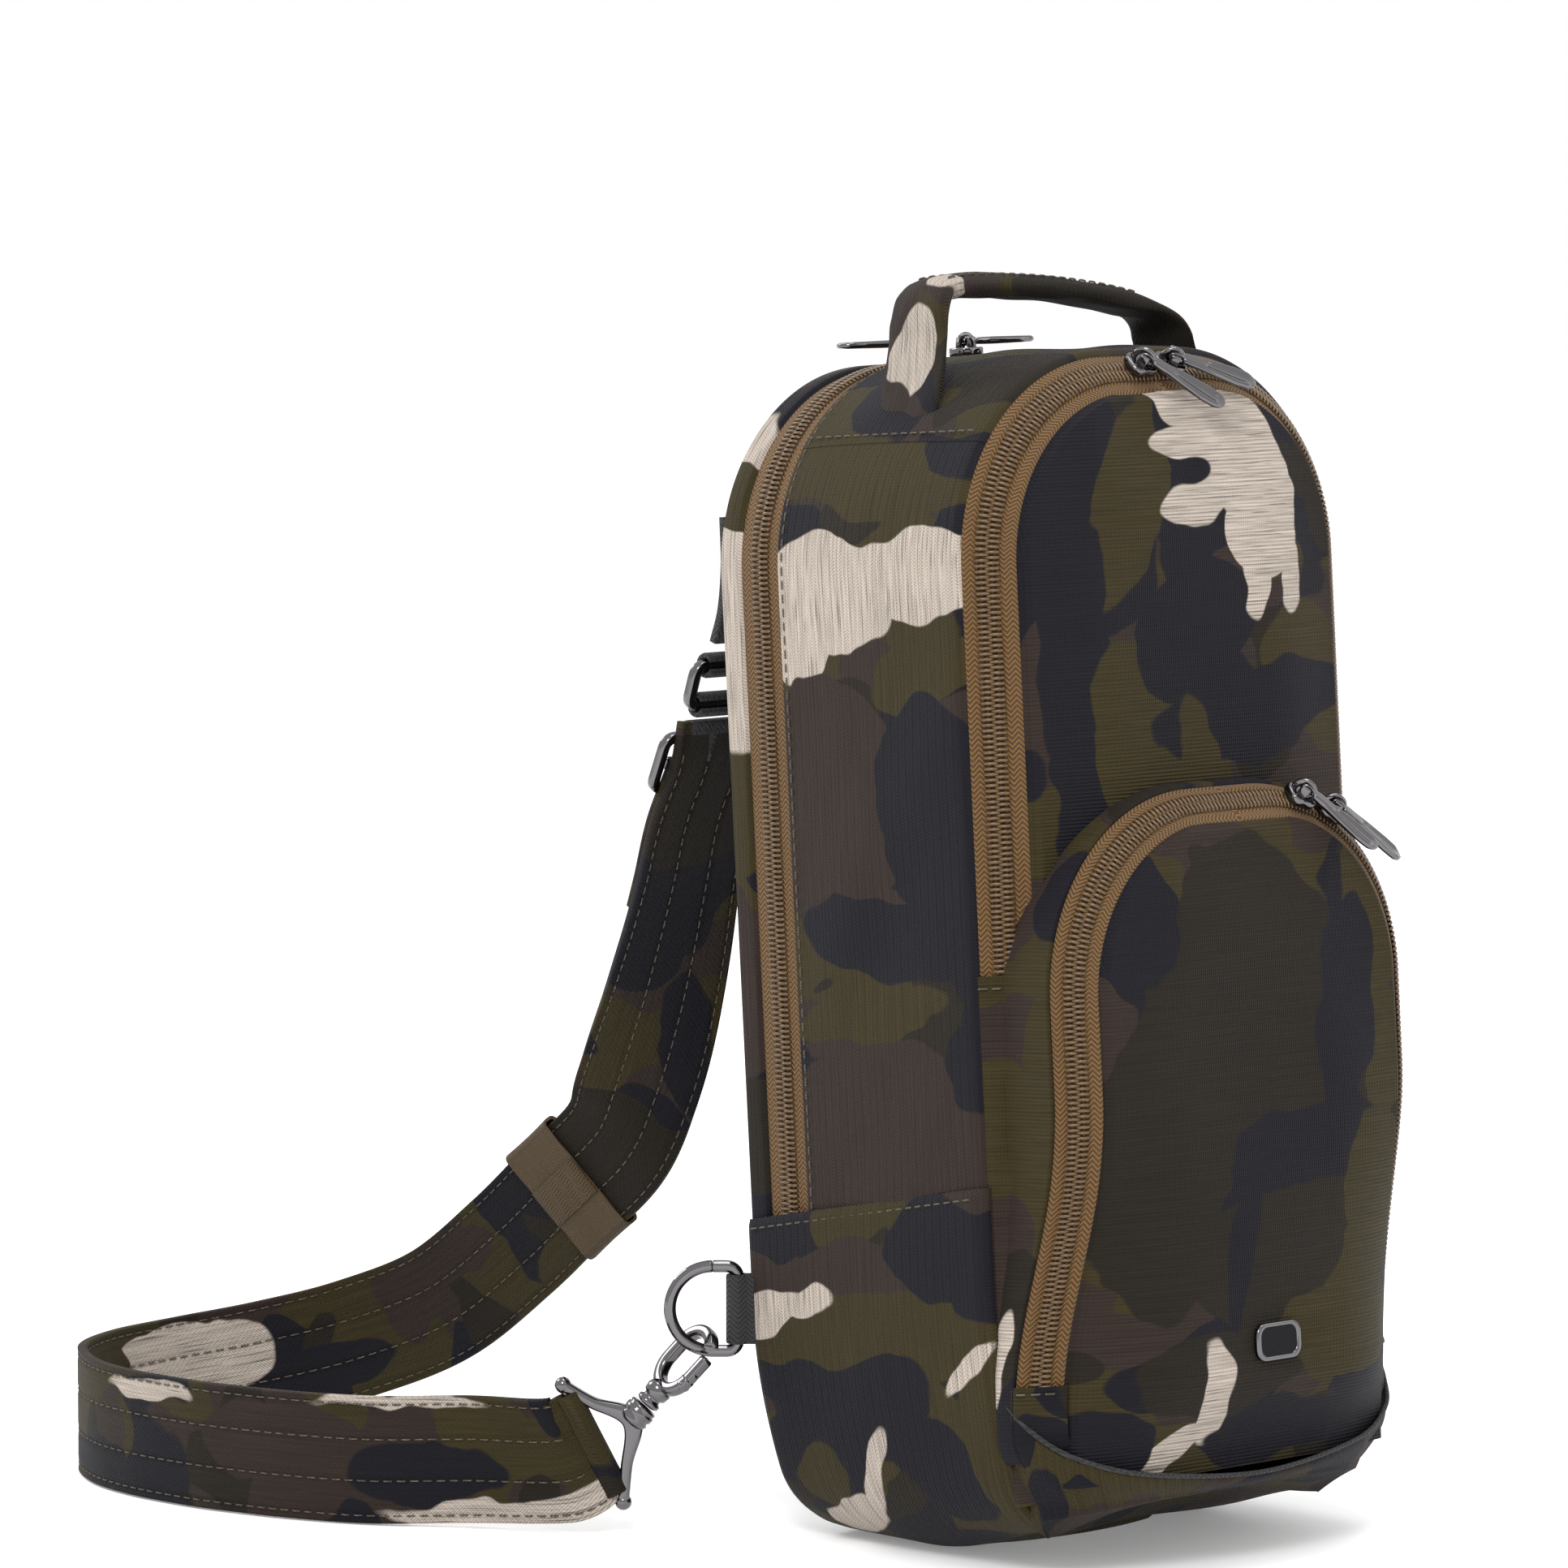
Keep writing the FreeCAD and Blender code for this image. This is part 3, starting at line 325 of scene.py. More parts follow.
SIDE_BLOBS = [
    (60, 318, 60, 12, 4, "o"), (18, 330, 24, 8, 0, "n"), (95, 322, 16, 22, 20, "n"),
    (60, 306, 45, 8, -4, "o"), (46, 276, 34, 17, 0, "c"), (84, 280, 30, 13, -3, "c"),
    (34, 262, 12, 13, 0, "c"), (84, 252, 22, 11, 12, "o"), (40, 216, 36, 36, 0, "t"),
    (86, 214, 22, 32, 8, "n"), (70, 176, 40, 12, -6, "n"), (98, 190, 12, 30, 0, "n"),
    (58, 154, 34, 7, 8, "o"), (60, 118, 48, 28, 0, "t"), (98, 140, 10, 14, 0, "n"),
    (3, 298, 11, 38, 0, "c"), (4, 306, 12, 12, 0, "o"), (4, 262, 13, 9, 0, "c"), (5, 215, 12, 22, 0, "o"),
    (4, 245, 9, 16, 0, "c"), (4, 160, 13, 24, 0, "t"), (5, 118, 11, 18, 0, "b"),
]
BOOT_BLOBS = [
    (14, 90, 22, 7, 0, "n"), (45, 90, 16, 11, 0, "o"), (40, 73, 36, 9, -6, "t"), (84, 80, 23, 17, 0, "n"),
    (100, 96, 16, 8, 0, "t"), (50, 55, 60, 12, -6, "o"), (10, 66, 14, 7, 10, "c"),
    (26, 67, 12, 4.5, 0, "c"), (36, 32, 40, 14, 14, "n"), (72, 22, 22, 12, -34, "n"),
    (92, 44, 3.4, 11, -52, "c"), (100, 24, 14, 20, 0, "o"), (22, 18, 12, 8, 0, "o"),
    (27, 6, 16, 6, 14, "c"), (46, 19, 3.6, 14, -30, "c"), (60, -4, 26, 8, 0, "n"),
]
FRONT_BLOBS = [
    (-40, 300, 24, 40, 20, "n"), (-22, 300, 13, 34, -24, "o"), (0, 322, 10, 20, 0, "n"),
    (-46, 250, 12, 60, 0, "n"), (-28, 226, 12, 34, 8, "o"), (0, 260, 26, 20, 30, "n"),
    (44, 252, 16, 14, 0, "o"), (8, 326, 19, 12, -30, "c"), (20, 312, 27, 17, -52, "c"),
    (-3, 314, 10, 5, 0, "c"), (2, 297, 14, 6, 4, "c"), (30, 290, 15, 16, -14, "c"),
    (24, 274, 5, 10, 10, "c"), (40, 274, 4.5, 12, 6, "c"), (2, 306, 6, 3.6, 0, "n"),
    (26, 236, 44, 12, 8, "n"), (0, 216, 8, 24, 6, "o"), (60, 320, 12, 40, 0, "b"),
]
POCKET_BLOBS = [
    (-4, 130, 46, 70, 0, "b"), (-44, 184, 12, 22, 10, "n"), (52, 180, 16, 30, -8, "o"),
    (58, 196, 6, 7, 0, "c"), (36, 150, 12, 34, -12, "n"), (16, 112, 30, 12, 10, "n"),
    (-10, 104, 20, 5, 32, "n"), (-12, 82, 5, 22, -16, "n"), (46, 96, 16, 24, 0, "o"),
    (-40, 110, 24, 44, 0, "b"), (-20, 50, 30, 12, 0, "b"), (-22, 44, 6, 16, 8, "c"),
    (-34, 27, 15, 6, 34, "c"), (30, 58, 28, 14, 0, "o"), (10, 30, 30, 10, 0, "n"),
    (-52, 30, 14, 12, 0, "n"),
]
STRIP_BLOBS = [
    (112, 150, 18, 12, 0, "t"), (110, 120, 14, 22, 12, "o"), (124, 140, 10, 26, 0, "o"),
    (108, 90, 14, 14, 0, "t"), (118, 70, 10, 20, 0, "b"), (116, 56, 3.6, 13, -4, "c"),
    (124, 190, 8, 14, 0, "n"), (118, 30, 14, 14, 0, "n"),
]
STRAP_BLOBS = [
    (0, 30, 30, 16, 0, "b"), (-8, 70, 12, 20, 20, "n"), (10, 104, 9, 24, -20, "n"),
    (-6, 150, 26, 22, 0, "b"), (14, 190, 8, 20, 0, "o"), (-10, 232, 9, 22, 12, "t"),
    (8, 292, 10, 26, 0, "n"), (-4, 336, 14, 32, 0, "c"), (4, 372, 24, 18, 0, "o"), (12, 420, 8, 24, 0, "n"),
    (-14, 452, 4, 18, 0, "c"), (-4, 500, 12, 26, 0, "t"), (-18, 540, 2.5, 26, 0, "c"),
    (4, 548, 9, 24, 0, "n"), (0, 640, 30, 36, 0, "n"), (16, 582, 4.5, 46, 0, "c"),
]
HANDLE_BLOBS = [
    (0, 22, 8, 14, 20, "c"), (8, 8, 8, 9, 0, "t"), (0, 50, 26, 8, 0, "t"), (-6, 44, 6, 4, 0, "c"),
    (0, 110, 30, 40, 0, "b"), (7, 96, 3, 10, 0, "o"), (0, 170, 30, 20, 0, "n"),
]
M_SIDE = camo("camo_side", SIDE_BLOBS, "v", "twill", 1.0)
M_RIGHT = camo("camo_right", [(330, 260, 30, 14, 8, "c"), (360, 150, 12, 26, 20, "c")], "v", "twill", 5.0)
M_BOOT = camo("camo_boot", BOOT_BLOBS, "v", "twill", 2.0)
M_FRONT = camo("camo_front", FRONT_BLOBS, "h", "rib", 3.0, 0.94)
M_POCKET = camo("camo_pocket", POCKET_BLOBS, "h", "rib", 4.0, 0.94)
M_STRIP = camo("camo_strip", STRIP_BLOBS, "h", "rib", 6.0)
M_STRAP = camo("camo_strap", STRAP_BLOBS, "v", "plain", 7.0, 0.9)
M_HANDLE = camo("camo_handle", HANDLE_BLOBS, "v", "plain", 8.0, 0.9)
M_TAPE = zip_tape()
M_COIL = coil_plastic()
M_BLACK = plain_cloth("black_webbing", linear(15, 15, 17), linear(42, 41, 44), 1.5)
M_ELASTIC = plain_cloth("elastic", linear(44, 32, 12), linear(84, 63, 27), 0.9)
M_MESH = mesh_cloth()
M_LINING = plain_cloth("lining", linear(40, 40, 42), linear(62, 62, 64), 1.6)
M_THREAD = plain_cloth("thread", linear(58, 52, 42), linear(100, 92, 76), 0.8)
M_GUN = metal("gunmetal", linear(108, 106, 108), 0.11)
M_DARK = metal("dark_enamel", linear(34, 34, 37), 0.38)


# ---- mesh helpers -------------------------------------------------------------------------------
def add_mesh(name, verts, faces, material, uv=None, smooth_faces=True):
    mesh = bpy.data.meshes.new(name)
    mesh.from_pydata(np.asarray(verts).reshape(-1, 3).tolist(), [], [tuple(f) for f in faces])
    if uv is None:
        flat = np.asarray(verts).reshape(-1, 3) / MM
        uv = stack(flat[:, 0] + flat[:, 1], flat[:, 2])
    layer = mesh.uv_layers.new(name="UVMap")
    corner = np.zeros(len(mesh.loops), int)
    mesh.loops.foreach_get("vertex_index", corner)
    layer.data.foreach_set("uv", np.asarray(uv, float).reshape(-1, 2)[corner].ravel())
    mesh.polygons.foreach_set("use_smooth", [smooth_faces] * len(mesh.polygons))
    mesh.materials.append(material)
    mesh.update()
    piece = bpy.data.objects.new(name, mesh)
    bpy.context.scene.collection.objects.link(piece)
    return piece


def grid_faces(rows, cols, loop=False, flip=False):
    wide = cols if loop else cols - 1
    r, c = np.meshgrid(np.arange(rows - 1), np.arange(wide), indexing="ij")
    nxt = (c + 1) % cols
    here, above = r * cols, (r + 1) * cols
    quad = stack(here + c, here + nxt, above + nxt, above + c).reshape(-1, 4)
    return quad[:, ::-1] if flip else quad


def sheet_piece(name, points, uv, material, flip=False, thick=0.0, space=world):
    """Open grid of points (rows, columns, 3)."""
    rows, cols = points.shape[:2]
    piece = add_mesh(name, space(points), grid_faces(rows, cols, flip=flip), material, uv)
    if thick:
        solid = piece.modifiers.new("wall", "SOLIDIFY")
        solid.thickness = thick * MM
        solid.offset = -1.0
    return piece


def loft(sections):
    """Vertices and faces of a tube through sections (rows, points, 3), with flat caps."""
    rows, cols = sections.shape[:2]
    faces = [list(f) for f in grid_faces(rows, cols, loop=True)]
    faces.append(list(range(cols))[::-1])
    faces.append([(rows - 1) * cols + i for i in range(cols)])
    return sections.reshape(-1, 3), faces


def combine(parts):
    verts, faces, base = [], [], 0
    for v, f in parts:
        v = np.asarray(v, float).reshape(-1, 3)
        verts.append(v)
        faces += [[i + base for i in one] for one in f]
        base += len(v)
    return np.concatenate(verts), faces


def unit_rows(v):
    return v / np.linalg.norm(v, axis=1)[:, None]


def run_along(path):
    """Distance from the path's start at each of its points."""
    return np.concatenate([[0], np.cumsum(np.linalg.norm(np.diff(path, axis=0), axis=1))])


def frames_along(path, up):
    """Side and up at each point of a path."""
    tangent = unit_rows(np.gradient(np.asarray(path, float), axis=0))
    side = unit_rows(np.cross(np.broadcast_to(np.asarray(up, float), tangent.shape), tangent))
    return side, np.cross(tangent, side)


def sweep(path, up, section):
    """Section points (side, up) carried along a path; section is one shape, or one for each point."""
    path = np.asarray(path, float)
    side, lift = frames_along(path, up)
    section = np.asarray(section, float)
    shapes = section[None] if section.ndim == 2 else section
    return path[:, None] + side[:, None] * shapes[..., :1] + lift[:, None] * shapes[..., 1:]


def tube(path, up, section):
    return loft(sweep(path, up, section))


def rounded(width, height, radius, n=4):
    """Closed rounded rectangle, counter clockwise."""
    out = []
    for cx, cy, start in ((1, 1, 0), (-1, 1, 90), (-1, -1, 180), (1, -1, 270)):
        for k in range(n):
            a = math.radians(start + 90 * k / (n - 1))
            out.append((cx * (width / 2 - radius) + radius * math.cos(a),
                        cy * (height / 2 - radius) + radius * math.sin(a)))
    return np.array(out)


def circle(radius, n=12):
    a = np.linspace(0, 2 * math.pi, n, endpoint=False)
    return stack(np.cos(a), np.sin(a)) * radius


def curve_through(points, n):
    """Smooth curve through points of any dimension."""
    p = np.asarray(points, float)
    p = np.concatenate([2 * p[:1] - p[1:2], p, 2 * p[-1:] - p[-2:-1]])
    t = np.linspace(0, len(points) - 1 - 1e-9, n)
    i = t.astype(int)
    f = (t - i)[:, None]
    a, b, c, d = p[i], p[i + 1], p[i + 2], p[i + 3]
    return 0.5 * (2 * b + (c - a) * f + (2 * a - 5 * b + 4 * c - d) * f ** 2
                  + (3 * b - a - 3 * c + d) * f ** 3)


def resample(path, step):
    run = run_along(path)
    s = np.linspace(0, run[-1], max(2, int(run[-1] / step) + 1))
    return np.stack([np.interp(s, run, path[:, k]) for k in range(path.shape[1])], -1)


def stitches(name, lines, owner="bag", space=world, radius=0.3):
    """Running stitches along lines of (points, normals)."""
    length, gap, step, bulge = 2.5, 1.1, 0.5, 0.22
    ring = circle(radius, 5)
    per = max(3, int(round(length / step)) + 1)
    skip = per + int(round(gap / step))
    lift = np.array([0.0] + [bulge] * (per - 2) + [0.0])[:, None]
    parts = []
    for points, normals in lines:
        joined = resample(np.concatenate([points, normals], 1), step)
        points, normals = joined[:, :3], joined[:, 3:]
        for i in range(0, len(points) - per, skip):
            parts.append(tube(points[i:i + per] + normals[i:i + per] * lift, normals[i], ring))
    verts, faces = combine(parts)
    piece = add_mesh(name, space(verts), faces, M_THREAD)
    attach(piece, owner)
    return piece


# ---- body outlines ------------------------------------------------------------------------------
def outline(half, top, bottom, r_top, r_bottom):
    """Half of an arch as (length, function of distance), from the bottom's middle round the left side
    to the top's middle.  Each function gives x, z and the outward normal."""
    quarter = math.pi / 2
    return [
        (half - r_bottom, lambda t: (-t, bottom, 0.0, -1.0)),
        (quarter * r_bottom, lambda t: (
            -half + r_bottom - r_bottom * np.sin(t / r_bottom),
            bottom + r_bottom - r_bottom * np.cos(t / r_bottom),
            -np.sin(t / r_bottom), -np.cos(t / r_bottom))),
        (top - r_top - bottom - r_bottom, lambda t: (-half, bottom + r_bottom + t, -1.0, 0.0)),
        (quarter * r_top, lambda t: (
            -half + r_top - r_top * np.cos(t / r_top), top - r_top + r_top * np.sin(t / r_top),
            -np.cos(t / r_top), np.sin(t / r_top))),
        (half - r_top, lambda t: (-half + r_top + t, top, 0.0, 1.0)),
    ]


def trace(shape, s):
    """Point and normal at a signed distance: negative on the left, positive on the right, 0 at the
    middle of the bottom; the top's middle is at plus or minus the full length."""
    s = np.asarray(s, float)
    d = np.abs(s)
    out = np.zeros(s.shape + (4,))
    start = 0.0
    for length, f in shape:
        m = (d >= start - 1e-6)
        x, z, nx, nz = f(np.clip(d[m] - start, 0, length))
        out[m] = stack(x, z, nx, nz)
        start += length
    sign = np.where(s > 0, -1.0, 1.0)
    out[..., 0] *= sign
    out[..., 2] *= sign
    return out


def foot(half, bottom, radius):
    """Distance round the outline at height zero, if its straight side went down that far."""
    return half - radius + math.pi * (radius / 2) - radius - bottom


BODY = outline(HALF_WIDTH, TOP, 0.0, 60.0, 20.0)
BODY_HALF = sum(part[0] for part in BODY)
BODY_FOOT = foot(HALF_WIDTH, 0.0, 20.0)
POCKET = outline(70.0, 216.0, 22.0, 58.0, 14.0)
POCKET_HALF = sum(part[0] for part in POCKET)
POCKET_FOOT = foot(70.0, 22.0, 14.0)


def settle(p):
    """The lower corners pull in where the bag stands."""
    p = np.array(p, float)
    t = np.clip((64 - p[..., 2]) / 64, 0, 1)
    back = np.clip(1 + p[..., 1] / DEPTH, 0, 1)
    p[..., 0] *= 1 - 0.11 * t ** 1.7
    p[..., 1] -= 8.0 * t ** 1.9 * back
    return p


def over_arch(full, start, n, low):
    """Signed distances from height low on the left, over the top, to height low on the right."""
    half = full - (start + low)
    run = np.linspace(-half, half, n)
    return np.where(run < 0, -(full + run), full - run)


def over_top(n, low):
    return over_arch(BODY_HALF, BODY_FOOT, n, low)


def pocket_run(n, low):
    return over_arch(POCKET_HALF, POCKET_FOOT, n, low)


def inside(q, inset, y):
    """Outline points moved inwards and put at depth y."""
    return stack(q[..., 0] - inset * q[..., 2], y, q[..., 1] - inset * q[..., 3])


def outward(q):
    return stack(q[..., 2], 0.0, q[..., 3])


def body(s, inset, y, puff=0.0, wave=45.0, seed=3):
    q = trace(BODY, s)
    p = inside(q, inset, y)
    if puff:
        p = p + outward(q) * (puff * ripple(p, wave, seed))[..., None]
    return settle(p)


def body_strip(s, section, puff=0.0, seed=3, crown=0.0, wave=45.0):
    """Grid (rows = section, columns = s) and its uv; section lists (inset, y)."""
    rows, uv = [], []
    ys = [y for _, y in section]
    low, high = min(ys), max(ys)
    for inset, y in section:
        across = (y - low) / (high - low)
        edge = math.sin(math.pi * across) if 0 < across < 1 else 0.0
        swell = crown * edge ** 0.6 if edge else 0.0
        rows.append(body(s, inset - swell, y, puff * edge, wave, seed))
        shift = np.where(s > 0, 300.0, 0.0)
        uv.append(stack(-y + shift, np.abs(s) - BODY_FOOT))
    return np.array(rows), np.array(uv)


def spread(section, step):
    """Section with extra points so that it's no coarser than step."""
    out = [section[0]]
    for a, b in zip(section[:-1], section[1:]):
        n = max(1, int(math.hypot(b[0] - a[0], b[1] - a[1]) / step))
        out += [(a[0] + (b[0] - a[0]) * k / n, a[1] + (b[1] - a[1]) * k / n) for k in range(1, n + 1)]
    return out


def base_height(y):
    return 13.0 * np.clip(-np.asarray(y, float) / DEPTH, 0, 1.3)


# ---- body ---------------------------------------------------------------------------------------
def on_body(piece, owner, *nodes):
    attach(piece, owner)
    if nodes:
        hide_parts(*nodes)
    return piece


def on_bag(piece, *nodes):
    return on_body(piece, "bag", *nodes)


def make_upper():
    s = over_top(count(420), BOOT_TOP)
    section = spread([(3.0, -0.4), (0.8, 0.3), (0.1, -0.6), (0, -1.6), (0, -6.6), (0.5, -7.6), (2.2, -8.2)],
                     2.2)
    p, uv = body_strip(s, section, 0.25, 5)
    on_bag(sheet_piece("rear_border_cloth", p, uv, M_SIDE, flip=True), "rear_border")
    section = spread([(2.4, -7.4), (1.3, -8.2), (1.2, -9), (1.1, -24), (1.3, -24.8), (2.4, -25.6)], 2.0)
    p, uv = body_strip(s, section)
    on_bag(sheet_piece("rear_tape_cloth", p, uv, M_TAPE, flip=True), "rear_zip_tape")
    section = spread([(2.6, -24.6), (0.6, -24.9), (-0.1, -25.6), (-0.2, -26.6), (-0.2, -99), (0.2, -100.4),
                      (1.2, -101.2), (2.6, -101.6)], 2.4)
    seam = 320.0
    run = np.linspace(BODY_FOOT + BOOT_TOP, BODY_FOOT + seam + 0.6, count(190))
    rest = np.linspace(BODY_FOOT + seam - 0.6, BODY_HALF, count(70))
    middle = np.concatenate([-rest, rest[-2::-1]])
    for name, part, material, node in (("side_cloth_left", -run, M_SIDE, "side_panel_left"),
                                       ("side_cloth_right", run[::-1], M_RIGHT, "side_panel_right"),
                                       ("top_cloth", middle, M_SIDE, "top_panel")):
        p, uv = body_strip(part, section, 0.55, 11, 1.3)
        if name == "top_cloth":
            uv = uv + np.array([40.0, -14.0])
            p[..., 2] += 0.25
        on_bag(sheet_piece(name, p, uv, material, flip=True), node)
    lines = [(body(s, -0.5, -27.6), outward(trace(BODY, s)))]
    for sign in (-1, 1):
        q = trace(BODY, np.full(60, sign * (BODY_FOOT + seam + 2.5)))
        lines.append((inside(q, -1.6, np.linspace(-27, -99, 60)), outward(q)))
    stitches("upper_stitches", lines)


def make_boot():
    step = 1.8 / DETAIL
    reach = BODY_FOOT + BOOT_TOP
    s = np.linspace(-reach, reach, int(2 * reach / step))
    section = spread([(3.4, 0.2), (1.2, 0.5), (0.2, -0.6), (-0.3, -2.2), (-0.5, -8), (-0.6, -60), (-0.5, -97),
                      (0.0, -100.2), (1.4, -101.6)], 2.6 / DETAIL)
    p, uv = body_strip(s, section, 0.6, 21, 0.8, 55.0)
    side = np.abs(s) - BODY_FOOT
    for row, (_, y) in enumerate(section):
        low = 1 - smooth((side + 8) / 34)
        sag = 2.2 + 0.0715 * y + 10 * smooth((-y - 42) / 60)
        sag = sag + arch(p[row, :, 0]) * smooth((-y - 55) / 45)
        p[row, :, 2] += low * sag + (1 - low) * base_height(y) * (0.3 + 0.7 * smooth(side / 70))
    # the top edge is folded under
    fold = np.clip((side - 91.0) / 2.0, 0, 1)
    p[..., 0] += np.sign(-p[..., 0]) * (fold * 0.6 - 0.5)[None]
    on_bag(sheet_piece("boot_cloth", p, uv, M_BOOT, flip=True, thick=0.9),
           "boot", "base_panel")
    lines = []
    for sign in (-1, 1):
        y = np.linspace(-2, -99, 80)
        z = BOOT_TOP - 2.6 + base_height(y)
        x = sign * 76.7 + sign * 0.8 * np.sin(np.pi * (-y / DEPTH)) ** 0.6
        lines.append((stack(x, y, z), np.tile([sign, 0.0, 0.0], (80, 1))))
    stitches("boot_stitches", lines)
    make_rim()


def arch(x):
    """Rise of the front lower edge between its corners."""
    return 7.5 * smooth(1.1 - np.abs(x) / 60.0)


def mirror_line(points):
    right = [(-x, y, z) for x, y, z in points[-2::-1]]
    return np.array(list(points) + right, float)


def make_rim():
    """Front lip of the boot, which stands in front of the pocket's lower edge."""
    n = count(160)
    rim = curve_through(mirror_line([
        (-75.6, -99.5, 52), (-75, -104, 45), (-71, -112, 36), (-62.5, -120, 28.5), (-42, -127.5, 22),
        (0, -131, 18)]), n)
    low = curve_through(mirror_line([
        (-65, -96, 10), (-64, -101, 10), (-60.5, -108, 10.5), (-53, -114, 11.5), (-34, -120, 13),
        (0, -122.5, 13.5)]), n)
    depth = 14
    run = run_along(rim)
    out = rim - np.array([0, -85, 20.0])
    out[:, 2] = 0
    out = unit_rows(out)
    rows = [rim - out * 3.0 + np.array([0, 0, -2.5])]
    uv = [stack(100 + run, rim[:, 2] + 3)]
    for k in range(depth + 1):
        t = k / depth
        swell = 2.6 * math.sin(math.pi * min(1, t * 1.1)) ** 0.8 if t < 0.9 else 0.8
        p = rim * (1 - t) + low * t + out * swell
        p = p + out * (0.5 * ripple(p, 26, 8) * math.sin(math.pi * t))[:, None]
        rows.append(p)
        uv.append(stack(100 + run, rim[:, 2] - 14 * t))
    under = low.copy()
    under[:, 0] *= 0.88
    under[:, 1] = -99.0
    under[:, 2] = 3.0 + arch(under[:, 0])
    rows.append(under)
    uv.append(stack(100 + run, rim[:, 2] - 34))
    rows = np.array(rows)
    ends = 1 - smooth(np.minimum(run, run[-1] - run) / 16.0)
    rows -= (out * (2.4 * ends)[:, None])[None]
    on_bag(sheet_piece("boot_lip", rows, np.array(uv), M_BOOT), "bottom_band")
    edge = rim + out * (0.3 - 2.4 * ends)[:, None] + np.array([0, 0, 0.2])
    v, f = tube(edge, (0, 0, 1), circle(0.7, 8))
    on_bag(add_mesh("lip_binding", world(v), f, M_BLACK))


def make_divider():
    """Lining wall between the two compartments."""
    s = np.linspace(-BODY_HALF, BODY_HALF, count(300))
    rim = body(s, 8.0, -62.0)
    rim[:, 2] = np.maximum(rim[:, 2], 11.0)
    middle = np.array([0, -62.0, 170.0])
    rows = np.array([middle + (rim - middle) * k for k in np.linspace(0.02, 1, 14)])
    rows[..., 1] += 1.2 * ripple(rows, 80, 40)
    on_bag(sheet_piece("divider_cloth", rows, rows[..., ::2], M_LINING, thick=1.2),
           "divider_panel")


def make_base():
    """Belly that carries the bag."""
    u = np.linspace(-1, 1, count(60))
    uu, vv = np.meshgrid(u, u, indexing="ij")
    x = 40.0 * uu * np.sqrt(1 - 0.42 * vv ** 2)
    y = 27.0 * vv * np.sqrt(1 - 0.42 * uu ** 2) + 3.0
    z = 4.0 * smooth((np.maximum(np.abs(uu), np.abs(vv)) - 0.85) / 0.15) ** 1.4 + 0.02
    on_bag(sheet_piece("base_cloth", stack(x, y, z), stack(x, y), M_BOOT,
                       space=floor_frame), "base_pad")


def make_back():
    """Padded mesh back with two sewn channels."""
    rows, cols = count(150), count(70)
    z = np.linspace(6, 337, rows)
    xi = np.linspace(-1, 1, cols)
    r, r_low = 56.0, 18
    wide = 71.0 - r + np.sqrt(np.maximum(r ** 2 - np.maximum(z - (337 - r), 0) ** 2, 0))
    low = np.maximum(r_low - (z - 6), 0)
    wide = wide - (r_low - np.sqrt(np.maximum(r_low ** 2 - low ** 2, 0)))
    zz, xx = np.meshgrid(z, xi, indexing="ij")
    x = wide[:, None] * xx
    rim = np.minimum(np.minimum((1 - np.abs(xx)) * wide[:, None], 337.5 - zz), zz - 5.5)
    swell = 7.0 * smooth(rim / 9.0) ** 0.5
    channel = np.exp(-((np.abs(x) - 24) / 2.2) ** 2) * smooth((rim - 6) / 10) * 2.6
    cross = np.exp(-((zz - 120) / 2.4) ** 2) * smooth((rim - 6) / 10) * 2.2
    uneven = 0.35 * ripple(stack(x, 0.0, zz), 40, 4) * smooth(rim / 12)
    y = swell - np.maximum(channel, cross) + uneven
    piece = sheet_piece("back_pad", settle(stack(x, y + 0.2, zz)), stack(x, zz), M_MESH,
                        flip=True)
    on_bag(piece, "back_panel")


def chamfer(s, q, rise=0.0):
    """Point on the front bevel at distance q from the side, raised off it."""
    return settle(inside(trace(BODY, s), q / ROOT2 - rise / ROOT2, -DEPTH - q / ROOT2 - rise / ROOT2))


def make_front():
    s = over_top(count(380), STRIP_TOP)
    across = [-0.8, 0.3, 1.0, 4.0, 8.5, 13.0, 16.0, 16.8, 17.6]
    lift = [-2.0, -1.0, -0.8, -0.7, -0.6, -0.7, -0.8, -1.0, -2.4]
    p = np.array([chamfer(s, q, r) for q, r in zip(across, lift)])
    uv = np.array([stack(q, np.abs(s)) for q in across])
    on_bag(sheet_piece("front_tape_cloth", p, uv, M_TAPE, flip=True), "front_zip_tape")
    for name, sign, node in (("front_strip_cloth_left", -1, "front_strip_left"),
                             ("front_strip_cloth_right", 1, "front_strip_right")):
        z = np.linspace(14, 166, count(150))
        at = sign * (BODY_FOOT + z)
        rows, uv = [], []
        for q in np.linspace(-0.4, 19.5, 14):
            t = (q + 0.4) / 19.9
            fold = 1.6 * ripple(stack(q * 2, 0.0, z), 22, 31) * math.sin(math.pi * t)
            rise = -1.4 if q < 0 else 0.5 * math.sin(math.pi * t)
            rows.append(chamfer(at, q, rise + 0.35 * fold))
            uv.append(stack(101 + q * 0.9, z))
        on_bag(sheet_piece(name, np.array(rows), np.array(uv), M_STRIP, flip=sign < 0), node)
        end = np.array([sign * (BODY_FOOT + STRIP_TOP - 2.5)])
        line = np.array([chamfer(end, q, 0.5)[0] for q in np.linspace(0.5, 17, 20)])
        stitches("zip_end_stitches_" + ("left" if sign < 0 else "right"),
                 [(line, np.tile([sign * 0.7, -0.7, 0.0], (20, 1)))])
    panel("front_cloth", 63.0, 329.0, 48.0, 40.0, -113.0, 6.5, M_FRONT, "front_panel", front_shape)


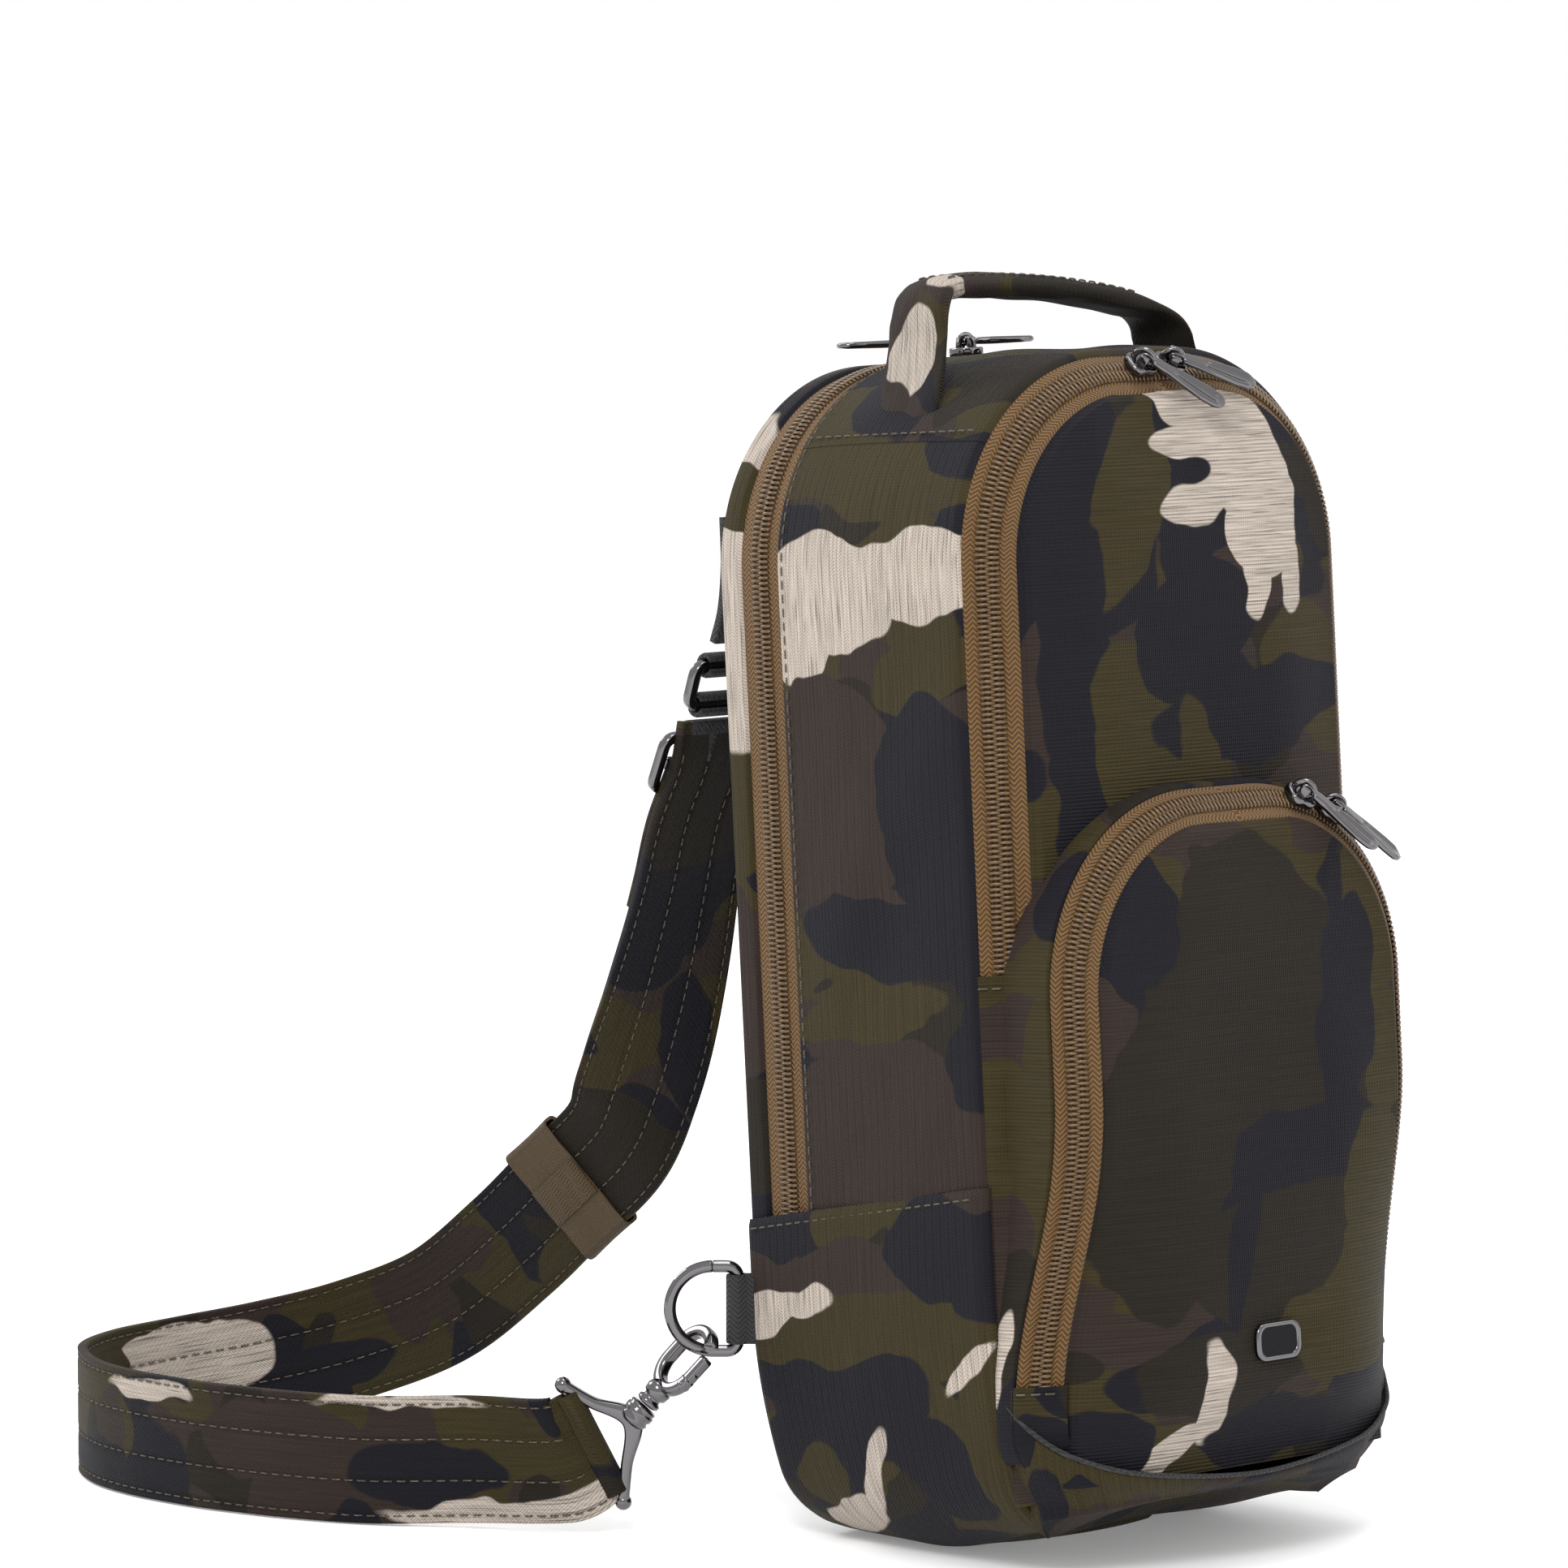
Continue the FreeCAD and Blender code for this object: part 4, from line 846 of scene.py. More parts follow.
def front_shape(p, xi):
    """Folds that run down from the zip, and a light sag."""
    x, y, z = p[..., 0], p[..., 1], p[..., 2]
    near = np.exp(-((329 - z) / 45.0) ** 2)
    pull = np.sin((x * 0.8 + z * 0.55) / 5.5) * near * 0.55 * (1 - np.abs(xi) ** 4)
    p[..., 1] = y - pull - 0.7 * ripple(p, 60, 14) * (1 - np.abs(xi) ** 6)
    return p


def panel(name, half, top, radius, low, y_edge, crown, material, node, shape):
    """Crowned front of a compartment."""
    rows, cols = count(170), count(110)
    turn = np.linspace(0, math.pi / 2, count(60))
    z = np.concatenate([np.linspace(low, top - radius, rows - len(turn), endpoint=False),
                        top - radius + radius * np.sin(turn)])
    arc = half - radius + np.sqrt(np.maximum(radius ** 2 - (z - top + radius) ** 2, 0))
    wide = np.where(z > top - radius, arc, half)
    xi = np.sin(np.linspace(-math.pi / 2, math.pi / 2, cols))
    zz, xx = np.meshgrid(z, xi, indexing="ij")
    x = wide[:, None] * xx
    rim = np.minimum((1 - np.abs(xx)) * wide[:, None], top - zz)
    swell = crown * (0.35 * smooth(rim / 3.0) + 0.65 * smooth(rim / 34.0) ** 0.8)
    y = y_edge + 1.6 * (1 - smooth(rim / 1.6)) - swell
    p = shape(stack(x, y, zz), xx)
    on_bag(sheet_piece(name, p, stack(x, zz), material), node)


# ---- pocket -------------------------------------------------------------------------------------
def pocket_lean(p, weight):
    """Towards the bottom the pocket gets shallower at its sides and spreads a little."""
    p = np.array(p, float)
    t = smooth((132 - p[..., 2]) / 92)
    p[..., 1] += 17.5 * t * weight
    p[..., 0] += np.sign(p[..., 0]) * 4.2 * smooth((110 - p[..., 2]) / 70) * weight
    return p


def pocket_skin(s, q, rise=0.0):
    """Pocket's side and bevel: q < 0 is the gusset, behind the bevel's start."""
    back = max(0.0, -q)
    on = max(0.0, q)
    inset = on / ROOT2 - rise * (1 / ROOT2 if q > 0 else 1.0)
    y = POCKET_Y + back - on / ROOT2 - (rise / ROOT2 if q > 0 else 0.0)
    return pocket_lean(inside(trace(POCKET, s), inset, y), 1.0)


def make_pocket():
    s = pocket_run(count(330), 27.0)
    rows, uv = [], []
    for q in (-26.0, -20.0, -16.0, -12.5, -9.0, -6.0, -3.0, -1.2, -0.3, 0.2):
        t = np.clip((q + 14) / 14, 0, 1)
        rise = 0.3 + 0.7 * math.sin(math.pi * float(t)) - (1.4 if q > 0 else 0.0)
        rows.append(pocket_skin(s, q, rise))
        uv.append(stack(124 + q + np.where(s > 0, 300, 0), np.abs(s) - POCKET_FOOT))
    p = np.array(rows)
    p[..., 1] = np.minimum(p[..., 1], -DEPTH)
    on_bag(sheet_piece("gusset_cloth", p, np.array(uv), M_STRIP, flip=True), "pocket_gusset")
    s = pocket_run(count(330), 48.0)
    across = [-0.6, 0.4, 1.0, 3.5, 7.05, 10.5, 13.2, 13.9, 14.8]
    lift = [-1.0, -0.7, -0.5, -0.4, -0.3, -0.4, -0.5, -0.8, -2.2]
    p = np.array([pocket_skin(s, q, r) for q, r in zip(across, lift)])
    uv = np.array([stack(q, np.abs(s)) for q in across])
    on_bag(sheet_piece("pocket_tape_cloth", p, uv, M_TAPE, flip=True),
           "pocket_zip_tape_outer", "pocket_zip_tape_inner")
    for sign, side in ((-1, "left"), (1, "right")):
        z = np.linspace(24, 49.5, 16)
        at = sign * (POCKET_FOOT + z)
        steps = np.linspace(-1, 15, 9)
        rows = [pocket_skin(at, q, 0.5 + 0.6 * math.sin(math.pi * (q + 1) / 16)) for q in steps]
        uv = [stack(sign * (60 - q), z) for q in steps]
        on_bag(sheet_piece("zip_stop_cloth_" + side, np.array(rows), np.array(uv), M_POCKET,
                           flip=sign < 0))
        end = np.array([sign * (POCKET_FOOT + 47.5)])
        line = np.array([pocket_skin(end, q, 1.2)[0] for q in np.linspace(0.5, 14, 16)])
        stitches("pocket_end_stitches_" + side, [(line, np.tile([sign * 0.7, -0.7, 0.0], (16, 1)))])
    panel("pocket_cloth", 60.2, 206.0, 48.0, 20.0, -134.8, 4.4, M_POCKET, "pocket_panel", pocket_shape)


def pocket_shape(p, xi):
    z = p[..., 2]
    p = pocket_lean(p, np.abs(xi) ** 5)
    p[..., 1] += 13.0 * smooth((50 - z) / 30) * (1 - np.abs(xi) ** 5)
    p[..., 1] -= 0.8 * ripple(p, 70, 17) * (1 - np.abs(xi) ** 6)
    crease = (np.exp(-((z - 47 - p[..., 0] * 0.1) / 5.0) ** 2)
              + 0.7 * np.exp(-((z - 34 + p[..., 0] * 0.12) / 4.0) ** 2))
    p[..., 1] += 0.7 * crease * (1 - np.abs(xi) ** 4)
    near = smooth(1.6 - np.hypot(p[..., 0] / 13.0, (z - 56.5) / 9.0))
    p[..., 1] += (-139.2 - p[..., 1]) * near
    return p


def make_badge():
    """Blank badge: a rounded metal frame round a plain dark plate."""
    y = -140.0
    for name, w, h, thick, depth, material, node in (
            ("badge_rim", 18.0, 11.5, 1.9, 2.2, M_GUN, "badge_frame"),
            ("badge_face", 15.2, 8.7, 0, 1.0, M_DARK, "badge_plate")):
        ring = rounded(w - thick, h - thick, 3.2, 7)
        centre = stack(ring[:, 0], y, 56.5 + ring[:, 1])
        if thick:
            section = rounded(thick, depth, 0.55, 4)
            radial = unit_rows(stack(ring[:, 0], 0.0, ring[:, 1]))
            solid = centre[:, None] + radial[:, None] * section[None, :, :1]
            solid[..., 1] += section[None, :, 1]
            rows, cols = solid.shape[:2]
            faces = grid_faces(cols, rows, loop=True)
            v = np.swapaxes(solid, 0, 1).reshape(-1, 3)
            faces = list(map(list, faces)) + [[(cols - 1) * rows + i, (cols - 1) * rows + (i + 1) % rows,
                                               (i + 1) % rows, i] for i in range(rows)]
        else:
            front = centre + np.array([0, -depth + 0.2, 0])
            v, faces = loft(np.array([centre + np.array([0, 1.5, 0]), front]))
        v = v + np.array([0, 0.4, 0])
        on_bag(add_mesh(name, world(v), faces, material,
                        smooth_faces=bool(thick)), node)


# ---- zips ---------------------------------------------------------------------------------------
def teeth(name, skin, s, centre, nodes, reach=3.7):
    """Two interlocking rows of coil teeth."""
    pitch = 1.55
    middle = skin(s, centre, 0.0)
    run = run_along(middle)
    even = np.interp(np.arange(0.5, run[-1], pitch / 2), run, np.arange(len(s)))
    index = even.astype(int)
    frac = (even - index)[:, None]
    upper = np.minimum(index + 1, len(s) - 1)
    spot = middle[index] * (1 - frac) + middle[upper] * frac
    outer = skin(s, centre + 1.0, 0.0)
    along = unit_rows(np.gradient(middle, axis=0))
    across = unit_rows(outer - middle)
    lift = np.cross(along, across)
    lift *= np.sign(np.sum(lift * (middle - np.array([0, -50, 150])), axis=1))[:, None]
    along, across, lift = along[index], across[index], lift[index]
    profile = [(-0.7, 0.05, 0.3), (-0.4, 0.55, 0.52), (0.9, 1.02, 0.52), (reach - 0.8, 0.95, 0.5),
               (reach, 0.3, 0.42)]
    ring = circle(1.0, 6)
    n = len(spot)
    side = np.where(np.arange(n) % 2 == 0, 1.0, -1.0)
    shape = np.zeros((n, len(profile), 6, 3))
    for k, (out, up, radius) in enumerate(profile):
        for m, (a, b) in enumerate(ring):
            shape[:, k, m] = (spot + across * (side * out)[:, None] + along * (a * radius * 0.95)
                              + lift * (up + b * radius * 0.8))
    size = len(profile) * 6
    one = [list(face) for face in grid_faces(len(profile), 6, loop=True)]
    one += [list(range(6))[::-1], [size - 6 + i for i in range(6)]]
    faces = [[i + size * k for i in f] for k in range(n) for f in one]
    verts = shape.reshape(-1, 3)
    on_bag(add_mesh(name, world(verts), faces, M_COIL), *nodes)


def body_skin(s, q, rise):
    return settle(inside(trace(BODY, s), 1.15 - rise, REAR_ZIP_Y - q))


def front_skin(s, q, rise):
    return chamfer(s, q, rise - 0.6)


def pocket_zip_skin(s, q, rise):
    return pocket_skin(s, q, rise - 0.3)


def make_coils():
    teeth("rear_teeth", body_skin, over_top(count(700), 94.0), 0.0, ["rear_zip_coil"])
    teeth("front_teeth", front_skin, over_top(count(600), 166.0), 8.5, ["front_zip_coil"])
    teeth("pocket_teeth", pocket_zip_skin, pocket_run(count(560), 49.0), 7.05,
          ["pocket_zip_coil_outer", "pocket_zip_coil_inner"], 3.3)


def slab_points(outline_2d, low, high, bevel):
    """Extruded outline with bevelled upper and lower edges, as a loft along z."""
    outline_2d = np.asarray(outline_2d, float)
    centre = outline_2d.mean(0)
    size = np.abs(outline_2d - centre).max()
    shrink = 1 - bevel / size
    slight = 1 - 0.3 * bevel / size
    levels = [(low, shrink), (low + bevel * 0.3, slight), (low + bevel, 1.0), (high - bevel, 1.0),
              (high - bevel * 0.3, slight), (high, shrink)]
    rows = [np.concatenate([centre + (outline_2d - centre) * k, np.full((len(outline_2d), 1), z)], 1)
            for z, k in levels]
    return loft(np.array(rows))


def place(verts, spot, x_dir, z_dir):
    x_dir = np.asarray(x_dir, float) / np.linalg.norm(x_dir)
    z_dir = np.asarray(z_dir, float) / np.linalg.norm(z_dir)
    y_dir = np.cross(z_dir, x_dir)
    verts = np.asarray(verts, float).reshape(-1, 3)
    return spot + verts[:, :1] * x_dir + verts[:, 1:2] * y_dir + verts[:, 2:] * z_dir


PIN = 4.05      # height of a pull's pin above the coil


def slider_plate():
    """Slider body along x, with a waist."""
    a = np.linspace(0, 2 * math.pi, 36, endpoint=False)
    x = 4.9 * np.sign(np.cos(a)) * np.abs(np.cos(a)) ** 0.7
    waist = 1 - 0.16 * np.exp(-(x / 1.6) ** 2)
    y = 4.4 * np.sign(np.sin(a)) * np.abs(np.sin(a)) ** 0.8 * waist
    return slab_points(stack(x, y), -0.6, 2.1, 0.5)


def crown_parts():
    """Round bridge along the pull's direction, the pin through it and the two posts that hold the pin."""
    t = np.linspace(0, math.pi, 15)
    bow = stack(3.1 * np.cos(t), 0.0, 1.6 + 4.2 * np.sin(t) ** 0.8)
    parts = [tube(bow, (0, 1, 0), rounded(1.9, 1.15, 0.5, 4))]
    pin = stack(0.0, np.linspace(-2.6, 2.6, 15), PIN)
    parts.append(tube(pin, (0, 0, 1), circle(0.62, 10)))
    for y in (-2.3, 2.3):
        post = slab_points(rounded(3.0, 1.2, 0.5, 4), 1.8, PIN + 1.2, 0.4)
        parts.append((post[0] + np.array([0, y, 0]), post[1]))
    return parts


def pull_parts():
    """Leaf shaped pull with a raised rim and an eye at the pin."""
    t = np.linspace(0, 1, 30)
    length = 24.0
    half = np.interp(t, [0, 0.08, 0.2, 0.45, 0.72, 0.88, 0.95, 0.985, 1.0],
                     [1.7, 1.9, 1.95, 2.9, 3.75, 3.5, 2.7, 1.7, 0.5])
    high = np.interp(t, [0, 0.1, 0.3, 0.9, 1.0], [0.9, 1.05, 1.1, 0.95, 0.4])
    dish = np.interp(t, [0, 0.3, 0.38, 0.86, 0.93, 1.0], [0, 0, 1, 1, 0, 0])
    a = np.array([-1, -0.97, -0.86, -0.66, -0.54, 0, 0.54, 0.66, 0.86, 0.97, 1, 0.96, 0.8, 0, -0.8, -0.96])
    b = np.array([0, 0.6, 1, 1, 0.55, 0.5, 0.55, 1, 1, 0.6, 0, -0.7, -1, -1, -1, -0.7])
    sections = np.zeros((len(t), len(a), 3))
    for k in range(len(t)):
        flat = np.where(b > 0.4, 1 - (1 - b) * dish[k], b) if dish[k] < 1 else b
        flat = np.where(np.abs(a) > 0.9, b, flat)
        sections[k, :, 0] = 2.6 + length * t[k]
        sections[k, :, 1] = a * half[k]
        sections[k, :, 2] = PIN - 0.1 + flat * high[k]
    parts = [loft(sections)]
    turn = np.linspace(0, 2 * math.pi, 25)
    half_long, half_high = 2.15, 1.15
    eye = stack(0.9 + half_long * np.cos(turn), 0.0, PIN + half_high * np.sin(turn))
    tangent = unit_rows(stack(-half_long * np.sin(turn), 0.0, half_high * np.cos(turn)))
    out = np.cross(np.array([0, 1, 0]), tangent)
    ring = rounded(2.3, 0.85, 0.35, 3)
    solid = eye[:, None] + np.array([0, 1.0, 0]) * ring[None, :, :1] + out[:, None] * ring[None, :, 1:]
    parts.append(loft(solid))
    return parts


def turned(v, degrees):
    c, s = math.cos(math.radians(degrees)), math.sin(math.radians(degrees))
    return np.array([v[0] * c + v[2] * s, v[1], -v[0] * s + v[2] * c])


def slider(name, spot, track, normal, pull_direction):
    pull = name.replace("slider", "pull")
    spot = np.asarray(spot, float)
    parts = [(place(v, spot, track, normal), f) for v, f in [slider_plate()]]
    parts += [(place(v, spot, pull_direction, normal), f) for v, f in crown_parts()]
    v, f = combine(parts)
    on_body(add_mesh(name + "_metal", world(v), f, M_GUN), name, name)
    v, f = combine([(place(v, spot, pull_direction, normal), f) for v, f in pull_parts()])
    on_body(add_mesh(pull + "_metal", world(v), f, M_GUN), pull, pull)


def make_sliders():
    rise = 1.8
    for name, x, side in (("rear_slider_left", -12.0, -1), ("rear_slider_right", 12.0, 1)):
        slider(name, (x, REAR_ZIP_Y, TOP + rise), (1, 0, 0), (0, 0, 1), (side, 0, 0))
    up = np.array([0, -1, 1]) / ROOT2
    lift = rise / ROOT2
    for name, x, pull in (("front_slider_left", -6.5, (0.6, -0.57, -0.57)),
                          ("front_slider_right", 5.0, (0.87, -0.35, -0.35))):
        slider(name, (x, -107 - lift, 335 + lift), (1, 0, 0), up, pull)
    for name, angle, down in (("pocket_slider_left", 16.0, (0.3, 0, -0.95)),
                              ("pocket_slider_right", 29.0, (0.6, 0, -0.8))):
        normal = turned(up, angle)
        spot = np.array([12.0, -130 - lift, 158.0]) + turned((0, 0, 53 + lift), angle)
        down = np.array(down) - normal * np.dot(down, normal)
        slider(name, spot, turned((1, 0, 0), angle), normal, down)


# ---- handle -------------------------------------------------------------------------------------
def make_handle():
    path = curve_through([
        (-57.5, 0, 321), (-55.2, 0, 328), (-52.4, 0, 337), (-50.6, 0, 346), (-49.2, 0, 354.5),
        (-46.6, 0, 359.6), (-41, 0, 361.6), (-30, 0, 362.2), (-8, 0, 361.2), (14, 0, 358.8), (32, 0, 355.4),
        (41, 0, 352.6), (46.5, 0, 348.5), (49, 0, 342), (51.5, 0, 334), (55.5, 0, 322)], count(190))
    path[:, 1] = HANDLE_Y
    run = run_along(path)
    t = run / run[-1]
    wide = np.interp(t, [0, 0.19, 0.235, 0.27, 0.74, 0.79, 0.85, 1.0],
                     [25, 24.5, 22, 17.5, 17.0, 21, 25, 25])
    deep = np.interp(t, [0, 0.17, 0.21, 0.26, 0.74, 0.79, 0.84, 1.0],
                     [2.6, 2.6, 5.0, 7.6, 7.2, 4.5, 2.6, 2.6])
    base = rounded(2.0, 2.0, 0.9, 6)
    sections = base * stack(wide / 2, deep / 2)[:, None]
    bump = 0.35 * ripple(path[:, None] + base[None, :, :1] * 9, 20, 5)
    sections[..., 1] += bump * np.sign(sections[..., 1]) * 0.8
    v, f = tube(path, (0, 1, 0), sections[..., ::-1])
    uv = stack(base[None, :, 0] * 12, run[:, None])
    piece = add_mesh("handle_cloth", world(v), f, M_HANDLE, uv.reshape(-1, 2))
    tuple(world((0, HANDLE_Y, 333.0)))
    tuple(world((0, HANDLE_Y, 343.0)))
    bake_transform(piece)
    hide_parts("handle_grip", "handle_tab_left", "handle_tab_right", "handle_anchor_left",
                "handle_anchor_right")
    # running stitches beside both edges of the grip
    side, _ = frames_along(path, (0, 1, 0))
    keep = (t > 0.27) & (t < 0.73)
    lines = []
    for y in (-6.2, 6.2):
        edge = path - side * (deep * 0.4)[:, None] + np.array([0, y, 0])
        if edge[keep][:, 2].mean() < path[keep][:, 2].mean():
            edge = path + side * (deep * 0.4)[:, None] + np.array([0, y, 0])
        lines.append((edge[keep], np.tile([0.0, 0.0, 1.0], (keep.sum(), 1))))
    stitches("handle_stitches", lines, "handle")


# ---- rings, hook and strap, in the floor frame --------------------------------------------------
SEAM = np.array([-75.0, REAR + 67 * SIN, 67 * COS])
OUT = np.array([-0.743, 0.669, 0.0]) / math.hypot(0.743, 0.669)
DEEP = np.array([OUT[1], -OUT[0], 0.0])
UP = np.array([0.0, 0.0, 1.0])
RING_BAR = 5            # from the seam to the D-ring's straight bar
RING_RADIUS = 12.5
RING_TURN = RING_BAR + 20 - RING_RADIUS


def at(out, up, deep=0.0):
    return SEAM + OUT * out + UP * up + DEEP * deep


def mirrored(v):
    return np.asarray(v, float) * np.array([-1.0, 1.0, 1.0])


def make_rings():
    r = RING_RADIUS
    a = np.linspace(math.pi / 2, -math.pi / 2, 40)
    bow = np.array([at(RING_TURN + r * math.cos(t), r * math.sin(t)) for t in a])
    corner = 3.2
    arcs = []
    for cx, cz, start in ((RING_BAR + corner, -r + corner, 270), (RING_BAR + corner, r - corner, 180)):
        for k in range(0, 91, 15):
            t = math.radians(start - k)
            arcs.append(at(cx + corner * math.cos(t), cz + corner * math.sin(t)))
    loop = np.array(list(bow) + arcs)
    path = resample(np.concatenate([loop, loop[:1]]), 0.8)
    facets = np.array([(1.0, 0.42), (0.42, 1.0), (-0.42, 1.0), (-1.0, 0.42), (-1.0, -0.42), (-0.42, -1.0),
                       (0.42, -1.0), (1.0, -0.42)]) * 1.8
    v, f = tube(path, DEEP, facets)
    tab_path = []
    for t in np.linspace(0, 1, 8):
        tab_path.append(at(-1.5 + 4.2 * t, 0, 1.5))
    for t in np.linspace(90, -90, 15):
        tab_path.append(at(RING_BAR + 2.9 * math.cos(math.radians(t)), 0, 2.75 * math.sin(math.radians(t))))
    for t in np.linspace(1, 0, 8):
        tab_path.append(at(-1.5 + 4.2 * t, 0, -1.5))
    tab_path = resample(np.array(tab_path), 0.5)
    tv, tf = tube(tab_path, UP, rounded(1.4, 20.5, 0.5, 3))
    uv = stack(np.repeat(np.arange(len(tab_path)) * 0.5, 12), tv[:, 2] - SEAM[2])
    for side, flip in (("left", lambda q: np.asarray(q)), ("right", mirrored)):
        piece = add_mesh("d_ring_metal_" + side, floor_frame(flip(v)), f, M_GUN,
                         smooth_faces=False)
        bevel = piece.modifiers.new("edge", "BEVEL")
        bevel.width = 0.00035
        bevel.segments = 2
        on_body(piece, "d_ring_" + side, "d_ring_" + side)
        piece = add_mesh("d_tab_cloth_" + side, floor_frame(flip(tv)), tf, M_BLACK, uv)
        on_bag(piece, "d_ring_tab_" + side)


def hook_axes():
    tilt, roll = math.radians(48.0), math.radians(60.0)
    along = OUT * -math.cos(tilt) + UP * math.sin(tilt)
    side = OUT * math.sin(tilt) + UP * math.cos(tilt)
    across = side * math.cos(roll) + DEEP * math.sin(roll)
    return along, across, np.cross(along, across)


def swivel_centre():
    along, across, _ = hook_axes()
    seat = 5.0
    wire = at(RING_TURN + seat, -math.sqrt(RING_RADIUS ** 2 - seat ** 2))
    return wire - along * 25.0 - across * 0.9


def lathe(profile, n=28):
    """Solid of revolution about x from (x, radius) pairs."""
    ring = circle(1.0, n)
    rows = [stack(x, ring[:, 0] * r, ring[:, 1] * r) for x, r in profile]
    return loft(np.array(rows))


def metal_piece(name, parts, spot, x_dir, z_dir, owner, node):
    v, f = combine(parts)
    on_body(add_mesh(name, floor_frame(place(v, spot, x_dir, z_dir)), f, M_GUN), owner, node)


def strap_bar():
    centre = swivel_centre()
    return centre + OUT * 22.4 + UP * 7.8, centre + OUT * 4.8 - UP * 26.8


def make_hook():
    along, across, normal = hook_axes()
    centre = swivel_centre()
    inner, arm = 5.45, 3.7
    mid = inner + arm / 2
    x_0, x_1 = 12.0 + inner, 28.6 - inner
    points = []
    # from the nose, round the top, down the solid side and round the root
    for x, angles in ((x_1, np.linspace(-42, 90, 22)), (x_0, np.linspace(90, 270, 30)[1:])):
        for t in angles:
            a = math.radians(t)
            points.append((x + mid * math.cos(a), mid * math.sin(a), 0.0))
    claw = tube(resample(np.array(points), 0.7), (0, 0, 1), rounded(arm, 3.9, 1.15, 4))
    neck = lathe([(2.7, 0.5), (3.0, 3.0), (3.5, 3.7), (4.6, 3.7), (5.2, 2.8), (6.0, 2.8), (6.6, 3.7),
                  (8.6, 4.0), (10.2, 3.4), (11.4, 1.8)])
    metal_piece("hook_claw", [claw, neck], centre, along, normal, "hook", "hook_body")
    gate_y = -mid
    gate_path = np.array([(x, gate_y, 0.0) for x in np.linspace(13.6, 25.6, 20)])
    shape = np.stack([rounded(3.3, 3.6, 0.9, 4)] * 20)
    shape[:2] *= np.array([0.7, 0.9])[:, None, None]
    shape[-1] *= 0.85
    gate = tube(gate_path, (0, 0, 1), shape)
    slot = np.array([(x, gate_y - 1.4, 0.0) for x in np.linspace(16, 20, 6)])
    slide = tube(slot, (0, 0, 1), rounded(0.9, 1.5, 0.3, 3))
    metal_piece("hook_gate_metal", [gate, slide], centre, along, normal, "gate", "hook_gate")
    rivet = lathe([(-2.0, 0.4), (-1.9, 1.05), (-1.6, 1.2), (1.6, 1.2), (1.9, 1.05), (2.0, 0.4)], 16)
    spot = centre + along * 15.0 + across * gate_y
    metal_piece("gate_rivet_metal", [rivet], spot, normal, along, "hook", "gate_rivet")
    upper, lower = strap_bar()
    foot = centre - along * 3.5
    rail = curve_through([upper, upper * 0.55 + foot * 0.45 - along * 0.6, foot,
                          lower * 0.55 + foot * 0.45 - along * 0.2, lower], 60)
    wide = 3.4 + 2.6 * np.exp(-(np.linspace(-1, 1, 60) / 0.28) ** 2)
    section = np.stack([rounded(w, 4.4, 1.3, 4) for w in wide])
    level = np.cross(upper - foot, lower - foot)
    level /= np.linalg.norm(level)
    bars = [tube(rail, level, section), tube(np.linspace(upper, lower, 20), level, circle(1.6, 12)),
            ball(upper, 2.5), ball(lower, 2.5)]
    barrel = lathe([(-4.6, 1.4), (-4.2, 3.4), (-3.4, 4.3), (-2.2, 4.7), (-1.5, 4.1), (-0.8, 4.7), (0.6, 4.7),
                    (1.1, 4.1), (1.6, 4.5), (2.2, 4.1), (2.5, 2.4)])
    bars.append((place(barrel[0], centre, along, normal), barrel[1]))
    v, f = combine(bars)
    on_body(add_mesh("hook_frame_metal", floor_frame(v), f, M_GUN), "hook_frame", "hook_frame")


def ball(centre, radius):
    ring = circle(1.0, 16)
    rows = [centre + radius * stack(math.cos(k), ring[:, 0] * math.sin(k), ring[:, 1] * math.sin(k))
            for k in np.linspace(0.02, math.pi - 0.02, 12)]
    return loft(np.array(rows))


ROUTE = [
    ((-50.5, 82.5, 236.0), (1, 0, 0)), ((-50.5, 86.0, 222.0), (1, 0, 0)),
    ((-52.0, 93.0, 205.0), (1, -0.02, -0.02)), ((-50.5, 100.0, 187.0), (1, -0.06, -0.06)),
    ((-48.9, 108.0, 166.0), (0.95, -0.18, -0.17)), ((-47.0, 118.0, 143.0), (0.84, -0.34, -0.34)),
    ((-45.5, 129.5, 120.0), (0.6, -0.48, -0.56)), ((-44.5, 141.0, 102.0), (0.37, -0.55, -0.75)),
    ((-43.7, 166.0, 83.5), (0.37, -0.55, -0.75)), ((-43.0, 191.0, 65.0), (0.37, -0.55, -0.75)),
    ((-47.5, 220.0, 44.0), (0.25, -0.36, -0.9)), ((-60.0, 248.0, 31.0), (0.08, -0.14, -0.98)),
    ((-80.0, 267.0, 24.0), (0, -0.05, -1)), ((-105.0, 278.0, 20.5), (0, 0, -1)),
    ((-131.0, 277.0, 19.4), (0, 0, -1)), ((-153.0, 264.0, 19.4), (0, 0, -1)),
    ((-167.0, 243.0, 19.4), (0, 0, -1)), ((-173.0, 217.0, 19.4), (0, 0, -1)),
    ((-171.0, 187.0, 19.4), (0, 0, -1)), ((-163.0, 157.0, 19.4), (0, 0, -1)),
    ((-149.0, 129.0, 19.4), (0, 0, -1)), ((-131.0, 106.0, 20.5), (0.08, -0.07, -0.99)),
]


